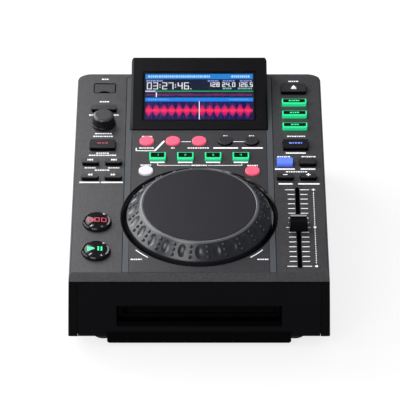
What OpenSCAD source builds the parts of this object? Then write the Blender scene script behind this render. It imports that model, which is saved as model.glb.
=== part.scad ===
// Tabletop disc and USB media player for disc jockeys.
// Origin: centre of the footprint, on the table. +X right, +Y to the back, +Z up.
// Places on the sloping deck are given as u (right), v (up the slope from the front crease)
// and n (out of the deck).

/* [Body] */
// Width across the deck
body_w = 216; // [212:1:232]
// Length of the sloping deck, front crease to back edge
deck_len = 276.4; // [272:0.4:292]
// Slope of the deck in degrees
deck_tilt = 6; // [5:0.5:8]
// Height of the front crease over the table
crease_h = 70; // [67:0.5:78]
// How far the lip reaches in front of the crease
lip_run = 9; // [7:0.5:12]
// How far the lip falls from the crease
lip_drop = 3.7; // [2.5:0.1:5]
// Height of the body's lower edge over the table
skirt_h = 11.8; // [10.6:0.2:13]
// How much wider each side gets toward the table, per millimetre of height
side_flare = 0.026; // [0:0.002:0.05]
// Wall of the mouldings
wall = 2.5; // [2.1:0.1:2.9]
// Bevel along the outer edges of the deck
edge_bevel = 1.6; // [0.8:0.2:2.4]
// Radius of the two back corners in plan
back_corner_r = 14; // [8:0.5:18]
// Radius of the two front corners in plan
front_corner_r = 2.2; // [1:0.2:3]
// Gap between pieces that lie side by side
seam = 0.3; // [0.2:0.05:0.5]
// Steel sheet of the base tray
sheet = 1.2; // [1:0.1:1.6]

/* [Front] */
// Distance from the inset front panel to the sides of the body
front_margin = 6.8; // [5:0.1:10]
// Width of the disc recess at the face
recess_w = 138; // [134:0.5:146]
// Height of the disc recess at the face
recess_h = 22; // [18:0.5:26]
// Height of the lower edge of the disc recess over the table
recess_z = 20.6; // [18:0.2:22]
// Depth of the disc recess
recess_depth = 7; // [5:0.5:9]
// Slope of the recess's lower edge, seen from the front
recess_sill = 4; // [2:0.5:6]
// Slope of the recess's other edges, seen from the front
recess_bevel = 1.5; // [0.5:0.1:2.5]
// Width of the slot that the disc goes through
slot_w = 128; // [124:0.5:131]
// Height of the slot that the disc goes through
slot_h = 5.6; // [5:0.2:7]
// Width of the bumper below the front panel
bumper_w = 154; // [140:1:158]
// Height of the bumper's lower edge over the table
bumper_z = 4.5; // [3.5:0.5:6]
// Height of the bumper's upper edge over the table
bumper_top_z = 16; // [15:0.2:17]

/* [Centre inlay] */
// Width of the centre panel
centre_w = 117.2; // [114:0.2:120]
// Width of each trim strip beside it
strip_w = 5.2; // [4:0.2:6.5]
// Thickness of the centre panel and the strips
inlay_t = 2.4; // [2:0.1:3]

/* [Display] */
// Width of the display housing
pod_w = 120; // [117:0.5:126]
// Place of the housing's front edge up the deck
pod_v = 194.3; // [192:0.5:196]
// Height of the housing's front edge over the deck
pod_lip_h = 0.9; // [0.6:0.1:1.6]
// Tilt of the display over the deck in degrees
pod_tilt = 10.66; // [8:0.5:12]
// Length of the display face, front to top edge
pod_len = 85.7; // [84:0.5:88]
// Radius of the face's two upper corners
pod_corner_r = 4; // [2:0.5:8]
// Bevel along the two sides of the housing
pod_bevel = 1.8; // [1:0.2:2.6]
// Width of the lit picture
picture_w = 95.04; // [90:0.5:99]
// Height of the lit picture
picture_h = 53.86; // [50:0.5:56]
// Distance from the housing's front edge to the picture
picture_s = 12.9; // [11:0.2:14]
// Border of the clear window round the picture
window_border = 2.6; // [2:0.2:3.6]
// Thickness of the clear window
window_t = 1; // [0.8:0.1:1.4]

/* [Jog wheel] */
// Place of the wheel's centre up the deck
jog_v = 73.8; // [72:0.2:75]
// Radius of the wheel's rim
jog_r = 61.5; // [59:0.1:62.6]
// Running gap between the rim and its well
jog_gap = 1.6; // [1:0.1:2.2]
// Width of the glossy slope round the wheel's well
well_slope_w = 2.9; // [2:0.1:3.4]
// Depth of that slope
well_slope_h = 3; // [1.5:0.1:4]
// Floor of the well
well_wall = 1.2; // [0.8:0.1:1.6]
// Depth of the well under the deck
well_depth = 10; // [9.6:0.1:10.6]
// Height of the rim's lower edge over the deck
rim_h = 1.4; // [1:0.1:3]
// Height of the touch disc over the deck
jog_h = 12.9; // [12.2:0.1:15]
// Radius of the touch disc
touch_r = 48; // [46:0.1:49]
// Width of the bevelled ring round the touch disc
jog_ring_w = 2.4; // [1.6:0.1:3]
// Number of finger dimples round the rim
dimple_count = 24; // [18:1:28]
// Length of a finger dimple along the slope
dimple_len = 12; // [9:0.2:12.6]
// Width of a finger dimple
dimple_w = 7.8; // [5:0.2:8.4]
// Depth of a finger dimple in the middle
dimple_depth = 1.2; // [0.7:0.05:1.4]
// Radius of a small grip bump
bump_r = 1.6; // [1.1:0.1:1.8]
// Radius of the wheel's shaft
jog_shaft_r = 6; // [5:0.25:7]
// Radial clearance of shafts in their bearings
running_fit = 0.05; // [0.03:0.01:0.08]
// Number of slots in the wheel's encoder disc
encoder_slots = 36; // [24:1:48]

/* [Keys] */
// Distance from the trim strips to the two columns of keys
column_in = 2.5; // [1.8:0.1:3.4]
// Distance from the columns of keys to the sides of the deck
column_out = 7.5; // [6.8:0.1:8.4]
// Height of the keys over the deck
key_rise = 3; // [2:0.1:4]
// Height of the round lit keys over the deck
lit_rise = 1.6; // [1:0.1:2.4]
// How far a key goes down
key_travel = 0.8; // [0.5:0.1:1]
// Gap between a key and its hole
key_gap = 0.5; // [0.35:0.05:0.6]
// Width of the flange that keeps a key in the deck
key_flange = 1.1; // [0.8:0.1:1.3]
// Radius of the corners of the rectangular keys
key_corner_r = 1.4; // [0.6:0.1:1.8]
// Bevel round the top of the rectangular keys
key_bevel = 0.7; // [0.4:0.1:1]
// Width of the bevelled ring round the large round keys
dome_ring_w = 2.2; // [1.6:0.1:2.8]
// Height of the dome on the large round keys
dome_h = 1.2; // [0.8:0.1:1.6]
// How much a wide key is shorter than its column is wide, at each end
wide_key_inset = 6; // [5:0.1:7]
// Depth of the low wide keys
low_key_d = 7.6; // [6.4:0.2:9]
// Depth of the tall wide keys
tall_key_d = 13; // [11:0.2:14]
// Gap between the two keys of a pair
pair_gap = 6; // [4:0.1:8]
// Depth of the keys that stand in pairs
pair_key_d = 6.8; // [5.6:0.2:8]
// Depth of the upper pair on the right
upper_pair_d = 9.4; // [8:0.2:10.6]
// Diameter of the small round keys
round_key_d = 12.4; // [10:0.2:13]
// Diameter of the two large round keys
play_key_d = 23.6; // [20:0.2:25]
// Width of the four numbered keys
cue_key_w = 14.2; // [12:0.2:16]
// Depth of the four numbered keys
cue_key_d = 9.6; // [8:0.2:11]
// Distance from the sides of the centre panel to the first and last numbered key
cue_row_margin = 22.6; // [20:0.2:26]
// Distance from the sides of the centre panel to the first and last round key
round_row_margin = 13; // [12.4:0.2:16]
// Distance between the three source keys
source_pitch = 17.35; // [16:0.05:17.6]

/* [Key places up the deck] */
// Middle of the cover over the memory socket
flap_v = 255.4; // [255:0.1:256.4]
// Middle of the back key
back_key_v = 223.9; // [223:0.1:226]
// Middle of the browse knob
knob_v = 202.4; // [201.6:0.1:203]
// Middle of the reverse key and the jog mode key
reverse_v = 171.4; // [170:0.2:173]
// Middle of the upper pair of keys
upper_pair_v = 147.2; // [146:0.2:148]
// Middle of the lower pair of keys
lower_pair_v = 126.4; // [125:0.2:127.4]
// Middle of the cue key
cue_v = 64.9; // [62:0.5:68]
// Middle of the play key
play_v = 26.6; // [24:0.5:30]
// Middle of the eject key
eject_v = 252.8; // [252:0.2:254]
// Middle of the first source key
source_v = 197.9; // [197:0.1:199]
// Middle of the upper row of round keys
round_row_v = 177.8; // [177:0.1:178.4]
// Middle of the numbered keys
cue_row_v = 155.6; // [154.8:0.1:157]
// Middle of the two round keys beside the jog wheel
jog_pair_v = 135.8; // [135:0.1:137]
// Distance from the sides of the centre panel to the round keys beside the jog wheel
jog_pair_margin = 12.8; // [12:0.1:13.6]

/* [Knob, fader and cover] */
// Diameter of the browse knob at its foot
knob_d = 21; // [18:0.5:23]
// Diameter of the browse knob at its top
knob_top_d = 17.4; // [14:0.2:18]
// Height of the browse knob over the deck
knob_h = 11; // [9:0.5:14]
// Number of grip grooves round the browse knob
knob_grooves = 20; // [12:1:24]
// Travel of the pitch fader, end to end
fader_travel = 100; // [60:1:100]
// Middle of the pitch fader up the deck
fader_v = 59.2; // [58.6:0.2:61]
// Width of the fader's slot
fader_slot_w = 3.6; // [3:0.1:5]
// Width of the fader's cap
fader_cap_w = 15.8; // [12:0.2:17]
// Length of the fader's cap
fader_cap_d = 14; // [10:0.2:16]
// Height of the fader's cap
fader_cap_h = 9; // [7:0.2:12]
// Width of the cover over the memory socket
flap_w = 18.2; // [16:0.2:19]
// Length of the cover over the memory socket
flap_d = 13; // [12.6:0.1:13.6]
// Depth of the recess that the cover lies in
flap_depth = 1.6; // [1.4:0.1:1.8]
// Gap round the cover
flap_gap = 0.9; // [0.6:0.1:1.1]
// Width of the finger notch in front of the cover
notch_w = 10; // [7:0.5:12]

/* [Disc drive] */
// Diameter of the disc that the drive takes
disc_d = 120; // [119:0.5:122]
// Distance from the front face to the middle of the loaded disc
disc_back = 81; // [79:0.5:84]
// Width of the drive's frame
drive_w = 136; // [133:0.5:140]
// Length of the drive's frame
drive_len = 158; // [156:0.5:164]
// Height of the drive's upper plate over the table
drive_top_z = 47; // [44:0.5:48]
// Diameter of the turntable
turntable_d = 29; // [24:0.5:32]
// Diameter of the loading roller at its ends
roller_d = 9; // [7:0.5:9.6]
// Travel of the pickup
pickup_travel = 36; // [30:0.5:38]
// Pitch of the pickup's lead screw
screw_pitch = 3; // [2:0.25:4]

/* [Sockets and feet] */
// How far the phono sockets stand out of the back
socket_reach = 8; // [7:0.5:10]
// Radius of a phono socket's outer shell
phono_r = 4.15; // [4:0.05:4.3]
// Distance between two phono sockets
phono_pitch = 14; // [13:0.5:17]
// Diameter of a foot
foot_d = 22; // [16:0.5:24]
// Distance from the feet to the sides of the body
foot_margin = 28; // [25:0.5:30]

/* [Hidden] */
$fn = 48;
// How far a cutting shape stands past what it cuts
over = 1;
case_black = "#232326";
deck_grey = "#55555a";
key_black = "#1c1c1f";
board_green = "#1f5c34";
lit_pink = "#ff7f93";

// Body
deck_run = deck_len * cos(deck_tilt);
front_to_back = lip_run + deck_run;
crease_y = lip_run - (front_to_back + socket_reach) / 2;
front_y = crease_y - lip_run;
rear_y = crease_y + deck_run;
lip_z = crease_h - lip_drop;
block_h = 130;
tray_floor_z = skirt_h;
inside_z = tray_floor_z + sheet;
rear_wall_y = rear_y - sheet - 1.2;
rear_opening_w = body_w - 24;
rear_wall_top_z = crease_h + 8;
tray_flange_h = 9;
boss_r = 3.6;
pilot_r = 1.3;
pilot_len = 14;
boss_u = body_w / 2 - wall - boss_r - 0.3;
boss_y = [crease_y + (cue_v + play_v) / 2, rear_y - 60];
screw_head_r = 3;
screw_head_h = 1.8;
screw_slot = [4, 1, 0.9];
foot_u = body_w / 2 - foot_margin;
foot_y = [crease_y + 14.5, rear_y - 26];
foot_bevel = 1.2;
vent_w = 20;
vent_pitch = 6;
vent_count = 7;

// Centre inlay
panel_half = centre_w / 2;
inlay_half = panel_half + strip_w + 2 * seam;
inlay_v0 = seam;
inlay_v1 = deck_len - 5;
bed_wall = 1;

// Front
front_panel_w = body_w - 2 * front_margin;
panel_edge = 1.2;
panel_face_y = front_y + 0.3;
panel_t = 2.2;
recess_slope_d = 3;
recess_wall = 1.4;
slot_z = recess_z + recess_sill + (recess_h - recess_sill - recess_bevel) / 2;
bumper_y = panel_face_y + 0.5;
bumper_d = 6;
bumper_corner_r = 2.4;

// Display
pod_wall = 2.2;
window_seam = 0.1;
window_corner_r = 1.1;
module_border = 5;
lcd_t = 3.2;
lcd_gap = 0.4;
lcd_tail = [40, 12, 1.4];
picture_mid_s = picture_s + picture_h / 2;
window_w = picture_w + 2 * window_border;
window_d = picture_h + 2 * window_border;
lcd_w = picture_w + 2 * module_border;
lcd_d = picture_h + 2 * module_border;

// Jog wheel
well_lip_w = 0.4;
well_r = jog_r + jog_gap;
well_outer_r = well_r + well_slope_w + well_lip_w;
well_ring_n = 0.4;
floor_n = -well_depth;
under_floor_n = floor_n - well_wall;
bearing_r = jog_shaft_r + 8;
bearing_len = 9;
bearing_top_n = floor_n + 2;
shaft_tip_n = under_floor_n - bearing_len - 4;
rib_t = 1.6;
rib_h = 4;
ring_r = touch_r + jog_ring_w;
cone_top_n = jog_h - 0.9;
cone_angle = atan2(cone_top_n - rim_h, jog_r - ring_r);
cone_len = norm([jog_r - ring_r, cone_top_n - rim_h]);
cone_mid_r = (jog_r + ring_r) / 2;
cone_mid_n = (cone_top_n + rim_h) / 2;
web_n = 4;
web_t = 2;
skin = 2;
skirt_n = -6.5;
ledge_n = jog_h - 2;
plate_fit = 0.2;
dimple_ball_r = (dimple_w * dimple_w / 4 + dimple_depth * dimple_depth) / (2 * dimple_depth);
dimple_arc_r = (dimple_len * dimple_len / 4 + dimple_depth * dimple_depth) / (2 * dimple_depth);
bump_pitch = cone_len * 0.29;
bump_sink = bump_r * 0.3;
encoder_disc_r = jog_shaft_r + 12;
encoder_disc_t = 1;
encoder_slot = [4, 1];

// Keys
column_w = body_w / 2 - inlay_half - column_in - column_out;
column_u = inlay_half + column_in + column_w / 2;
wide_key_w = column_w - 2 * wide_key_inset;
pair_key_w = (column_w - pair_gap) / 2;
pair_u = (pair_key_w + pair_gap) / 2;
cue_centre_u = column_u + 2.3;
cue_key_pitch = (panel_half - cue_row_margin) / 1.5;
round_key_pitch = (panel_half - round_row_margin) / 2;
jog_pair_u = panel_half - jog_pair_margin;
board_n = -12.6;
board_t = 1.6;
switch_w = 6;
switch_h = 3.5;
flange_t = 1.2;
flange_top_n = -wall - 0.4;
flange_corner_r = 0.8;
stem_w = 5;
stem_tip_n = board_n + switch_h + key_travel + 0.3;
cue_rise = lit_rise + 0.6;
round_edge = 0.5;
dome_edge = 0.8;
dome_seat = 0.3;
opening_v0 = jog_v + well_outer_r * 0.7;
opening_half = panel_half - 4;
opening_gap = 6;

// Knob, fader, cover of the memory socket
knob_foot_n = 1.2;
knob_shaft_r = 3;
knob_socket_n = knob_h - 2.2;
knob_skirt_n = 2.8;
knob_shoulder_n = knob_h - 1.6;
knob_side_r = knob_d / 2 - 0.6;
knob_neck_r = knob_top_d / 2 + 0.4;
knob_lean = atan2(knob_side_r - knob_neck_r, knob_shoulder_n - knob_skirt_n);
groove_r = 0.7;
knob_collar_d = 9;
sleeve_flange_r = knob_collar_d / 2 + 2;
sleeve_foot_n = -8;
encoder_w = 12;
fader_foot_n = 0.8;
fader_stem_w = 2;
fader_stem_d = 6;
fader_lean_v = 2.2;
fader_lean_u = 1.2;
fader_saddle_r = 7;
fader_saddle_d = 2;
fader_slot_len = fader_travel + fader_stem_d + 2;
carriage_w = 6;
carriage_h = 3;
track_w = 11;
track_h = 8;
track_end = 4;
track_wall = 1.2;
cover_t = flap_depth - seam;
cover_corner_r = 1.5;
hinge_r = 0.8;
hinge_pin_r = 0.4;
hinge_pin_len = flap_w + 2 * flap_gap + 3;
notch_d = 2;
notch_r = (notch_w * notch_w / 4 + notch_d * notch_d) / (2 * notch_d);
usb_w = 13.2;
usb_d = 5.8;
usb_len = 14;
usb_shell = 0.35;
usb_tongue = [11.2, 1.8];

// Boards
standoff_r = 3;
standoff_h = 6;
main_z = inside_z + standoff_h;
boards_y0 = crease_y - lip_run + recess_depth + 4 + drive_len + 6;
main_x = [38 - body_w / 2, 14];
power_x = [body_w / 2 - 80, body_w / 2 - 14];
pillar_r = 2;
pillar_v = (cue_row_v + round_row_v) / 2 - 0.8;
board_pillars = [
  [-body_w / 2 + 9, jog_v + 26, -wall], [-body_w / 2 + 9, reverse_v + 14, -wall],
  [body_w / 2 - 9, reverse_v + 14, -wall], [body_w / 2 - 9, eject_v - 14, -wall],
  [-1.5 * round_key_pitch, pillar_v, -inlay_t], [1.5 * round_key_pitch, pillar_v, -inlay_t]];

// Disc drive
disc_y = front_y + disc_back;
disc_low_z = slot_z - slot_h / 2;
disc_high_z = slot_z + slot_h / 2;
drive_y = front_y + recess_depth + 4;
drive_wall = 1.2;
drive_foot = [8, 12, 6];
light_hole_r = 12;
belly_gap = 3;
belly_w = 2 * (foot_u - foot_d / 2 - belly_gap);
belly_y0 = bumper_y + bumper_d;
belly_y1 = drive_y + drive_len + 4;
roller_y = drive_y + 8;
roller_z = disc_low_z - 0.4 - roller_d / 2;
roller_pin_r = 1.5;
roller_end = 5;
roller_waist = 1;
traverse_w = 96;
traverse_len = 118;
traverse_t = 2;
traverse_z = 22;
pivot_r = 1.5;
pivot_y = drive_y + drive_len - 8;
pivot_z = traverse_z + traverse_t / 2;
pivot_arm_w = 6;
spindle_r = 1.5;
motor_r = 13;
motor_h = 7;
sled_y0 = disc_y + 14;
sled_len = 20;
sled_t = 5.2;
sled_drop = 3.4;
rail_x = 18;
rail_r = 1.5;
rail_z = traverse_z - 3.2;
rail_y0 = disc_y + 12;
rail_y1 = rail_y0 + sled_len + pickup_travel + 5;
rail_block = [8, 4, 2.5];
pickup_window = [-34, 24];
pickup_lens_r = 4;
screw_x = -28;
screw_r = 1.5;
thread_t = 0.8;
thread_h = 0.5;
table_gap = 0.4;
table_t = 1.6;
hub_r = [7.3, 5.6];
hub_h = 2.2;

// Sockets
socket_z = 52;
phono_x = 30 - rear_opening_w / 2;
phono_flange_t = 1.4;
phono_step = 0.3;
phono_pin_r = 2.2;
phono_depth = 12;
data_x = -8;
data_w = 12.2;
data_h = 11;
data_mouth = 8.6;
data_tongue = [5.6, 3.2];
data_depth = 14;
inlet_x = rear_opening_w / 2 - 34;
inlet_z = 46;
inlet_w = 56;
inlet_h = 30;
inlet_rim = 3;
inlet_flange_t = 2;
inlet_depth = 22;
inlet_left = -10;
cavity_w = 24.4;
cavity_h = 17;
cavity_d = 15;
contact = [2, 4];
contact_x = 7;
rocker_right = 16;
rocker_w = 13;
rocker_swing_r = 9.6;
rocker_pin_r = 1;

// ---- placement ----

module on_deck(u = 0, v = 0, n = 0)
  translate([0, crease_y, crease_h])
    rotate([deck_tilt, 0, 0])
      translate([u, v, n])
        children();

// The display face: s runs up the face from its front edge, h stands out of it
module on_face(u = 0, s = 0, h = 0)
  on_deck(0, pod_v, pod_lip_h)
    rotate([pod_tilt, 0, 0])
      translate([u, s, h])
        children();

module on_jog() on_deck(0, jog_v) children();

// A profile drawn in y and z, carried along x
module across_x(w)
  rotate([90, 0, 90])
    linear_extrude(w, center = true)
      children();

// A profile drawn in x and z, carried along y
module along_y(y0, y1)
  translate([0, y1, 0])
    rotate([90, 0, 0])
      linear_extrude(y1 - y0)
        children();

// A round hole or pin along x, centred
module x_pin(r, len)
  rotate([0, 90, 0])
    cylinder(r = r, h = len, center = true);

// ---- flat outlines ----

module round_rect(w, d, r) {
  square([w - 2 * r, d], center = true);
  square([w, d - 2 * r], center = true);
  for (sx = [-1, 1], sy = [-1, 1])
    translate([sx * (w / 2 - r), sy * (d / 2 - r)])
      circle(r);
}

module plate(w, d, t, r = 1)
  linear_extrude(t)
    round_rect(w, d, r);

module plan_outline(inset) {
  y0 = front_y + inset;
  y1 = rear_y - inset;
  half = body_w / 2 + side_flare * crease_h - inset;
  rb = back_corner_r - inset / 2;
  rf = max(front_corner_r - inset, 0.4);
  translate([-half + rf, y0])
    square([2 * (half - rf), rf]);
  translate([-half, y0 + rf])
    square([2 * half, y1 - y0 - rf - rb]);
  translate([-half + rb, y1 - rb])
    square([2 * (half - rb), rb]);
  for (sx = [-1, 1]) {
    translate([sx * (half - rf), y0 + rf])
      circle(rf);
    translate([sx * (half - rb), y1 - rb])
      circle(rb);
  }
}

// Height of the deck, or of its underside, at a distance behind the crease
function deck_z(y, inset) = crease_h + y * tan(deck_tilt) - inset / cos(deck_tilt);

module side_outline(inset, z0) {
  back = inset * lip_drop / lip_run / 2;
  polygon([
    [front_y + inset, z0],
    [front_y + inset, lip_z - inset],
    [crease_y + back, deck_z(back, inset)],
    [rear_y - inset, deck_z(deck_run - inset, inset)],
    [rear_y - inset, z0]]);
}

module cross_outline(inset) {
  half = body_w / 2 - inset;
  low = side_flare * block_h;
  polygon([
    [-half - low, -block_h],
    [-half, -edge_bevel],
    [-half + edge_bevel, -inset],
    [half - edge_bevel, -inset],
    [half, -edge_bevel],
    [half + low, -block_h]]);
}

// The outer form of the body, or the hollow in it
module case_block(inset, z0)
  intersection() {
    linear_extrude(block_h)
      plan_outline(inset);
    across_x(2 * body_w)
      side_outline(inset, z0);
    on_deck()
      along_y(-2 * lip_run, deck_len + 2 * lip_run)
        cross_outline(inset);
  }

// ---- holes and keys ----

module box_hole(w, d, clear = 0, r = key_corner_r)
  translate([0, 0, -wall - over])
    plate(w + 2 * clear, d + 2 * clear, wall + 2 * over, r + clear);

module round_hole(d, clear = 0)
  translate([0, 0, -wall - over])
    cylinder(d = d + 2 * clear, h = wall + 2 * over);

// A slot along the deck with round ends
module long_hole(w, len)
  translate([0, 0, -wall - over])
    linear_extrude(wall + 2 * over) {
      square([w, len - w], center = true);
      for (end = [-1, 1])
        translate([0, end * (len - w) / 2])
          circle(w / 2);
    }

module key_stem()
  translate([-stem_w / 2, -stem_w / 2, stem_tip_n])
    cube([stem_w, stem_w, flange_top_n - stem_tip_n]);

// A rectangular key: bevelled cap, neck through the deck, flange below it, stem to its switch
module box_key(w, d, rise = key_rise) {
  intersection() {
    translate([0, 0, flange_top_n])
      plate(w, d, rise - flange_top_n, key_corner_r);
    across_x(w + over)
      polygon([
        [-d / 2, flange_top_n - over],
        [-d / 2, rise - key_bevel],
        [-d / 2 + key_bevel, rise],
        [d / 2 - key_bevel, rise],
        [d / 2, rise - key_bevel],
        [d / 2, flange_top_n - over]]);
  }
  translate([0, 0, flange_top_n - flange_t])
    plate(w, d + 2 * key_flange, flange_t, flange_corner_r);
  key_stem();
}

// A round key with a bevelled edge
module round_key(d, rise = lit_rise) {
  rotate_extrude()
    polygon([
      [0, flange_top_n - flange_t],
      [d / 2 + key_flange, flange_top_n - flange_t],
      [d / 2 + key_flange, flange_top_n],
      [d / 2, flange_top_n],
      [d / 2, rise - round_edge],
      [d / 2 - round_edge, rise],
      [0, rise]]);
  key_stem();
}

// A large key: bevelled ring round a shallow dome
module dome_key(d) {
  lens_r = d / 2 - dome_ring_w;
  seat_n = key_rise - dome_seat;
  ball_r = (lens_r * lens_r + dome_h * dome_h) / (2 * dome_h);
  rotate_extrude()
    polygon([
      [0, flange_top_n - flange_t],
      [d / 2 + key_flange, flange_top_n - flange_t],
      [d / 2 + key_flange, flange_top_n],
      [d / 2, flange_top_n],
      [d / 2, key_rise - dome_edge],
      [d / 2 - dome_edge, key_rise],
      [lens_r, seat_n],
      [0, seat_n]]);
  intersection() {
    translate([0, 0, seat_n + dome_h - ball_r])
      sphere(ball_r);
    translate([0, 0, seat_n - 0.05])
      cylinder(r = lens_r, h = dome_h + over);
  }
  key_stem();
}

module wide_key(side, v, d, tint) color(tint) on_deck(side * column_u, v) box_key(wide_key_w, d);

module pair_key(side, end, v, d, tint = key_black)
  color(tint)
    on_deck(side * column_u + end * pair_u, v)
      box_key(pair_key_w, d);

module back_button() wide_key(-1, back_key_v, low_key_d, key_black);
module reverse_button() wide_key(-1, reverse_v, tall_key_d, "#3a1a1f");
module eject_button() wide_key(1, eject_v, tall_key_d, key_black);
module source_button(i) wide_key(1, source_v + i * source_pitch, low_key_d, "#22c06c");
module jog_mode_button() wide_key(1, reverse_v, tall_key_d, "#1c1c22");
module track_prev() pair_key(-1, -1, upper_pair_v, pair_key_d);
module track_next() pair_key(-1, 1, upper_pair_v, pair_key_d);
module search_back() pair_key(-1, -1, lower_pair_v, pair_key_d);
module search_forward() pair_key(-1, 1, lower_pair_v, pair_key_d);
module key_lock_button() pair_key(1, -1, upper_pair_v, upper_pair_d, "#6f86ff");
module tap_button() pair_key(1, 1, upper_pair_v, upper_pair_d);
module bend_minus() pair_key(1, -1, lower_pair_v, pair_key_d);
module bend_plus() pair_key(1, 1, lower_pair_v, pair_key_d);
module cue_button() color("#3a1218") on_deck(-cue_centre_u, cue_v) dome_key(play_key_d);
module play_button() color("#0f3324") on_deck(-cue_centre_u, play_v) dome_key(play_key_d);
module round_row_key(i, tint) color(tint) on_deck(i * round_key_pitch, round_row_v) round_key(round_key_d);
module hot_cue(i)
  color("#2fe596")
    on_deck((i - 2.5) * cue_key_pitch, cue_row_v)
      box_key(cue_key_w, cue_key_d, cue_rise);
module memory_button() color("#f2eef4") on_deck(-jog_pair_u, jog_pair_v) round_key(round_key_d);
module slip_button() color(lit_pink) on_deck(jog_pair_u, jog_pair_v) round_key(round_key_d);

// ---- the case ----

// Recess of the socket's cover, with bores for the hinge pin and the mouth of the socket
module flap_hole() {
  translate([0, 0, -flap_depth - seam])
    plate(flap_w + 2 * flap_gap, flap_d + 2 * flap_gap, wall + over, cover_corner_r + flap_gap);
  translate([0, flap_d / 2 - hinge_r, -hinge_r])
    x_pin(hinge_pin_r + running_fit, hinge_pin_len + seam);
  box_hole(usb_w, usb_d, seam, 0.5);
}

module wing_holes() {
  on_deck(-column_u, back_key_v) box_hole(wide_key_w, low_key_d, key_gap);
  on_deck(column_u, eject_v) box_hole(wide_key_w, tall_key_d, key_gap);
  for (i = [0:2])
    on_deck(column_u, source_v + i * source_pitch) box_hole(wide_key_w, low_key_d, key_gap);
  for (side = [-1, 1])
    on_deck(side * column_u, reverse_v) box_hole(wide_key_w, tall_key_d, key_gap);
  for (side = [-1, 1], end = [-1, 1]) {
    on_deck(side * column_u + end * pair_u, lower_pair_v) box_hole(pair_key_w, pair_key_d, key_gap);
    on_deck(side * column_u + end * pair_u, upper_pair_v)
      box_hole(pair_key_w, side < 0 ? pair_key_d : upper_pair_d, key_gap);
  }
  for (v = [cue_v, play_v])
    on_deck(-cue_centre_u, v) round_hole(play_key_d, key_gap);
  on_deck(-column_u, knob_v) round_hole(knob_collar_d, seam);
  on_deck(column_u, fader_v) long_hole(fader_slot_w, fader_slot_len);
  on_deck(-column_u, flap_v) flap_hole();
}

// Upper moulding: two wings, the lip, the sides and a sunk bed for the centre inlay
module top_case() color(deck_grey) {
  difference() {
    case_block(0, skirt_h);
    difference() {
      case_block(wall, -over);
      bed_block();
    }
    // Recess for the inlay
    on_deck()
      translate([-inlay_half, 0, -inlay_t])
        cube([2 * inlay_half, inlay_v1, 2 * inlay_t]);
    // Hole for the jog wheel's well
    on_deck(0, jog_v, -2 * well_depth)
      cylinder(r = well_outer_r + seam, h = 4 * well_depth);
    // Holes under the keys of the centre panel and under the display
    for (v = [[opening_v0, pod_v - opening_gap], [pod_v + 2, inlay_v1 - opening_gap + 2]])
      on_deck(-opening_half, v[0], -3 * wall)
        cube([2 * opening_half, v[1] - v[0], 6 * wall]);
    wing_holes();
    // Front opening
    translate([-front_panel_w / 2 - seam, front_y - over, -over])
      cube([front_panel_w + 2 * seam, wall + 3 * over, lip_z - panel_edge + over]);
    // Opening in the back, closed by the tray's wall
    translate([-rear_opening_w / 2, rear_y - wall - over, -over])
      cube([rear_opening_w, wall + 2 * over, rear_wall_top_z + over]);
  }
  case_bosses();
}

// The bed is the deck plate, sunk by the thickness of the inlay
module bed_block()
  on_deck()
    translate([-inlay_half - bed_wall, 0, -inlay_t - wall])
      cube([2 * (inlay_half + bed_wall), inlay_v1 + wall, inlay_t + wall]);

// Places of the four screws
module at_bosses(z)
  for (sx = [-1, 1], y = boss_y)
    translate([sx * boss_u, y, z])
      children();

module case_bosses()
  intersection() {
    at_bosses(inside_z)
      difference() {
        cylinder(r = boss_r, h = block_h);
        translate([0, 0, -over])
          cylinder(r = pilot_r, h = pilot_len);
      }
    case_block(wall * 0.9, 0);
  }

// Centre panel, flush between the strips, cut through by the jog wheel's well
module control_panel() color("#434346")
  difference() {
    on_deck(-panel_half, inlay_v0, -inlay_t)
      cube([centre_w, pod_v - seam - inlay_v0, inlay_t]);
    on_deck(0, jog_v, -2 * inlay_t)
      cylinder(r = well_outer_r + seam, h = 4 * inlay_t);
    for (i = [-2:2])
      on_deck(i * round_key_pitch, round_row_v) round_hole(round_key_d, key_gap);
    for (i = [1:4])
      on_deck((i - 2.5) * cue_key_pitch, cue_row_v) box_hole(cue_key_w, cue_key_d, key_gap);
    for (side = [-1, 1])
      on_deck(side * jog_pair_u, jog_pair_v) round_hole(round_key_d, key_gap);
  }

module side_strips() color("#6b7078")
  difference() {
    for (side = [-1, 1])
      on_deck(side * (panel_half + seam + strip_w / 2) - strip_w / 2, inlay_v0, -inlay_t)
        cube([strip_w, inlay_v1 - seam - inlay_v0, inlay_t]);
    on_deck(0, jog_v, -2 * inlay_t)
      cylinder(r = well_outer_r + seam, h = 4 * inlay_t);
    // Room for the display housing
    on_deck(-pod_w / 2 - seam, pod_v - seam, -2 * inlay_t)
      cube([pod_w + 2 * seam, deck_len, 4 * inlay_t]);
  }

// The disc recess: a box whose four sides slope in from the face. A profile's first and last
// point lie in front of the face, on the same slope.
module recess_shape(grow = 0) {
  z0 = recess_z - grow;
  z1 = recess_z + recess_h + grow;
  half = recess_w / 2 + grow;
  back = recess_depth + grow;
  sill_over = recess_sill / recess_slope_d * over;
  bevel_over = recess_bevel / recess_slope_d * over;
  intersection() {
    across_x(2 * half + 2 * over)
      polygon([
        [front_y - over, z0 - sill_over],
        [front_y + recess_slope_d, z0 + recess_sill],
        [front_y + back, z0 + recess_sill],
        [front_y + back, z1 - recess_bevel],
        [front_y + recess_slope_d, z1 - recess_bevel],
        [front_y - over, z1 + bevel_over]]);
    linear_extrude(block_h)
      polygon([
        [-half - bevel_over, front_y - over],
        [-half + recess_bevel, front_y + recess_slope_d],
        [-half + recess_bevel, front_y + back],
        [half - recess_bevel, front_y + back],
        [half - recess_bevel, front_y + recess_slope_d],
        [half + bevel_over, front_y - over]]);
  }
}

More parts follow.
